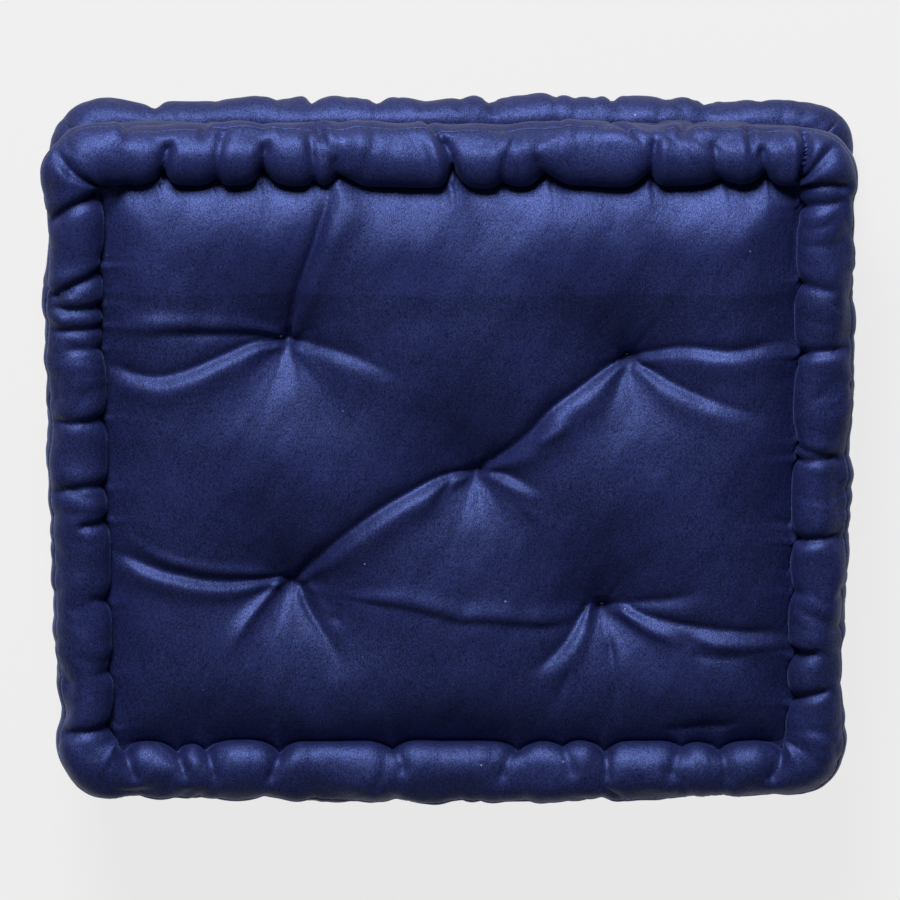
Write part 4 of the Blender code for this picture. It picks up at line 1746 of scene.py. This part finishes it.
@dataclass
class TuftTies:
    """The twine through each tuft, with a knot at both ends."""

    sizes: CushionSizes
    cover: VelvetCover
    pieces: dict = field(default_factory=dict)

    def build(self) -> None:
        """Makes one tie for each tuft, reaching from one face's cloth to the other's.

        Its radius is 0.9 mm, swelling by bells to a 2.1 mm knot near each end, and is ribbed by
        1 + 0.12 cos(3 turn - 900 z) as three strands wound together.
        """
        turn = np.arange(16) / 16 * math.tau
        for name, (x, y) in self.sizes.tufts.items():
            ends = []
            for grid in (self.cover.shape.lower, self.cover.shape.upper):
                away = np.hypot(grid[..., 0] - x, grid[..., 1] - y)
                ends.append(grid[..., 2].ravel()[np.argmin(away)])
            low, high = ends[0] - 0.2 * MM, ends[1] + 0.2 * MM
            z = np.linspace(low, high, 90)
            end = np.minimum(z - low, high - z)
            knots = bell(z - low - 1.4 * MM, 1.3 * MM) + bell(high - 1.4 * MM - z, 1.3 * MM)
            radius = (0.9 * MM + 1.3 * MM * knots) * np.sqrt(np.clip(end / (1.2 * MM), 0.002, 1))
            ring = radius[:, None] * (1 + 0.12 * np.cos(3 * turn[None, :] - 900 * z[:, None]))
            height = np.broadcast_to(z[:, None], ring.shape)
            points = np.stack([x + ring * np.cos(turn), y + ring * np.sin(turn), height], axis=2)
            faces = grid_quads(len(z), len(turn), False, True)[:, ::-1]
            self.pieces[f"tuft_tie_{name}"] = new_mesh(f"tuft_tie_{name}_twine", points.reshape(-1, 3), faces)

    def dress(self) -> None:
        """Puts the twine on the ties."""
        finish = TWINE.make()
        for node, piece in self.pieces.items():
            dress(piece, finish, "twine", node)


@dataclass
class Filling:
    """The fibre inside the cover: a batt under each face, a batt between them, and the rolls' stuffing.

    Attributes:
        clearance: How far an outer batt stays below its face.
        shoulder: How far the middle batt stays inside the outline.
        middle_half: Half the middle batt's thickness.
        flat_side: How far the outer batts' flat sides are from the middle.
        least: How far their outsides are from it at least.
    """

    sizes: CushionSizes
    cover: VelvetCover
    clearance: float = 4.5 * MM
    shoulder: float = 22 * MM
    middle_half: float = 9.2 * MM
    flat_side: float = 10.4 * MM
    least: float = 11.4 * MM
    pieces: dict = field(default_factory=dict)

    def between(self, node: str, top: np.ndarray, bottom: np.ndarray) -> None:
        """A closed piece between two grids of the same shape.

        Args:
            node: Name of its CAD node.
            top: Points of its top, (across, along, 3).
            bottom: Points of its bottom.
        """
        rows, columns = top.shape[:2]
        quads, count = grid_quads(rows, columns, False, False), rows * columns
        numbers = np.arange(count).reshape(rows, columns)
        rim = np.concatenate([numbers[:-1, 0], numbers[-1, :-1], numbers[:0:-1, -1], numbers[0, :0:-1]])
        following = np.roll(rim, -1)
        wall = np.stack([rim, rim + count, following + count, following], axis=1)
        points = np.vstack([top.reshape(-1, 3), bottom.reshape(-1, 3)])
        faces = np.vstack([quads, quads[:, ::-1] + count, wall])
        self.pieces[node] = new_mesh(f"{node}_fibre", points, faces)

    def build(self) -> None:
        """Makes the batts out of the cover's own faces, and the stuffing along the rolls.

        An outer batt's outside is its face drawn in by the clearance. The middle batt's is a flat
        plan grid with waves. A roll's stuffing is a tube of 4 mm with waves, along the roll's middle.
        """
        sizes = self.sizes
        middle = sizes.thickness / 2
        for face, grid in ((Face.UPPER, self.cover.shape.upper), (Face.LOWER, self.cover.shape.lower)):
            sign = face.value
            inner = grid[4:-4, 4:-4][::3, ::3] * np.array([0.985, 0.985, 1.0])
            flat = inner.copy()
            lumps = 0.3 * MM * waves(flat[..., 0], flat[..., 1], 0.03, 51)
            flat[..., 2] = middle + sign * (self.flat_side + lumps)
            deep = sign * (inner[..., 2] - middle) - self.clearance
            inner[..., 2] = middle + sign * np.maximum(deep, self.least)
            self.between(f"{face.name.lower()}_batt", *(inner, flat)[::sign])
        x = np.linspace(-1, 1, 90)[:, None] * (sizes.width / 2 - self.shoulder)
        y = np.linspace(-1, 1, 78)[None, :] * (sizes.length / 2 - self.shoulder)
        x, y = np.broadcast_arrays(x, y)
        lumps = 0.5 * MM * waves(x, y, 0.03, 53)
        sides = [np.stack([x, y, middle + half + lumps], 2) for half in (self.middle_half, -self.middle_half)]
        self.between("middle_batt", *sides)
        points, _, travel = Plan(sizes, 150, 130).ring(np.array([sizes.roll_radius + 1.0 * MM]))
        radius = 4.0 * MM + 0.4 * MM * waves(travel[:, 0], 0 * travel[:, 0], 0.03, 55)
        up = np.tile([0.0, 0.0, 1.0], (len(points), 1))
        for name, z in (("upper", sizes.thickness - sizes.roll_radius), ("lower", sizes.roll_radius)):
            path = np.pad(points[:, 0], ((0, 0), (0, 1)), constant_values=z)
            node = f"{name}_roll_stuffing"
            self.pieces[node] = new_mesh(f"{node}_fibre", *tube(path, radius, up, sides=20, closed=True))

    def dress(self) -> None:
        finish = FIBRE.make()
        for node, piece in self.pieces.items():
            dress(piece, finish, "fibre", node)


# ---------------------------------------------------------------- studio


@dataclass(frozen=True)
class Lamp:
    """A soft square lamp.

    Attributes:
        name: Its name.
        azimuth: Direction that it stands in, in degrees from +X towards +Y.
        elevation: Its height above the floor, in degrees.
        distance: How far from the cushion it is.
        size: Its width.
        power: Its power in watts.
        colour: Its colour.
    """

    name: str
    azimuth: float
    elevation: float
    distance: float
    size: float
    power: float
    colour: tuple = (1.0, 1.0, 1.0)

    def place(self, target: Vector) -> None:
        """Adds the lamp, turned to a target.

        Args:
            target: Where it points.
        """
        data = bpy.data.lights.new(self.name, "AREA")
        data.shape = "SQUARE"
        data.size = self.size
        data.energy = self.power
        data.color = self.colour
        turn, rise = math.radians(self.azimuth), math.radians(self.elevation)
        way = Vector((math.cos(turn) * math.cos(rise), math.sin(turn) * math.cos(rise), math.sin(rise)))
        lamp = bpy.data.objects.new(self.name, data)
        lamp.location = target + way * self.distance
        lamp.rotation_euler = way.to_track_quat("Z", "Y").to_euler()
        bpy.context.scene.collection.objects.link(lamp)


@dataclass
class Studio:
    """A pale floor, soft light and the camera.

    Attributes:
        tilt: How far the camera leans from straight above, in degrees.
        distance: How far it is from the cushion.
        lens: Its focal length in millimetres.
        ambient: Strength of the light from all round.
        floor_half: Half the floor's width.
    """

    sizes: CushionSizes
    tilt: float = 14.0
    distance: float = 4.0
    lens: float = 284.0
    ambient: float = 0.10
    floor_half: float = 6.0

    LAMPS = (
        Lamp("key", azimuth=-80, elevation=36, distance=3.0, size=1.1, power=205, colour=(1.0, 0.985, 0.96)),
        Lamp("fill", azimuth=60, elevation=60, distance=3.2, size=2.4, power=5),
    )

    def build(self) -> None:
        """Sets the floor, the lamps, the surroundings and the camera up."""
        target = Vector((0.0, 0.0, self.sizes.thickness / 2))
        corners = np.array([[-1, -1, 0], [1, -1, 0], [1, 1, 0], [-1, 1, 0]]) * self.floor_half
        floor = new_mesh("studio_floor", corners, np.array([[0, 1, 2, 3]]))
        floor.data.materials.append(PaleFloor().make())
        for lamp in self.LAMPS:
            lamp.place(target)
        world = bpy.data.worlds.new("studio_surroundings")
        world.use_nodes = True
        sky = world.node_tree.nodes["Background"]
        sky.inputs["Color"].default_value = (1.0, 1.0, 1.0, 1)
        sky.inputs["Strength"].default_value = self.ambient
        bpy.context.scene.world = world
        bpy.context.scene.view_settings.view_transform = "Standard"
        self.aim_camera(target)

    def aim_camera(self, target: Vector) -> None:
        """Sets the camera over the near side, turned so that the near side is at the top of the view.

        Args:
            target: Where it points.
        """
        data = bpy.data.cameras.new("studio_camera")
        data.lens = self.lens
        data.sensor_width = 36.0
        data.clip_end = 50.0
        camera = bpy.data.objects.new("studio_camera", data)
        tilt = math.radians(self.tilt)
        back = Vector((0.0, -math.sin(tilt), math.cos(tilt)))
        right = Vector((-1.0, 0.0, 0.0))
        turned = Matrix((right, back.cross(right), back)).transposed().to_4x4()
        turned.translation = target + back * self.distance
        camera.matrix_world = turned
        bpy.context.scene.collection.objects.link(camera)
        bpy.context.scene.camera = camera


def main() -> None:
    """Builds the cushion's looks in order."""
    logging.basicConfig(level=logging.INFO, format="%(message)s")
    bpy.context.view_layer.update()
    sizes = CushionSizes.from_frame()
    LOG.info("sizes: %s", sizes)
    shape = CoverShape.worked_out(sizes, CELL)
    shape = shape.changed_by(ClothRelaxing().change(sizes))
    cover = VelvetCover(sizes, shape.rested(), RollSection.make(sizes, CELL))
    for part in (cover, Stitching(cover), TuftTies(sizes, cover), Filling(sizes, cover)):
        part.build()
        part.dress()
    Studio(sizes).build()


if __name__ == "__main__":
    main()
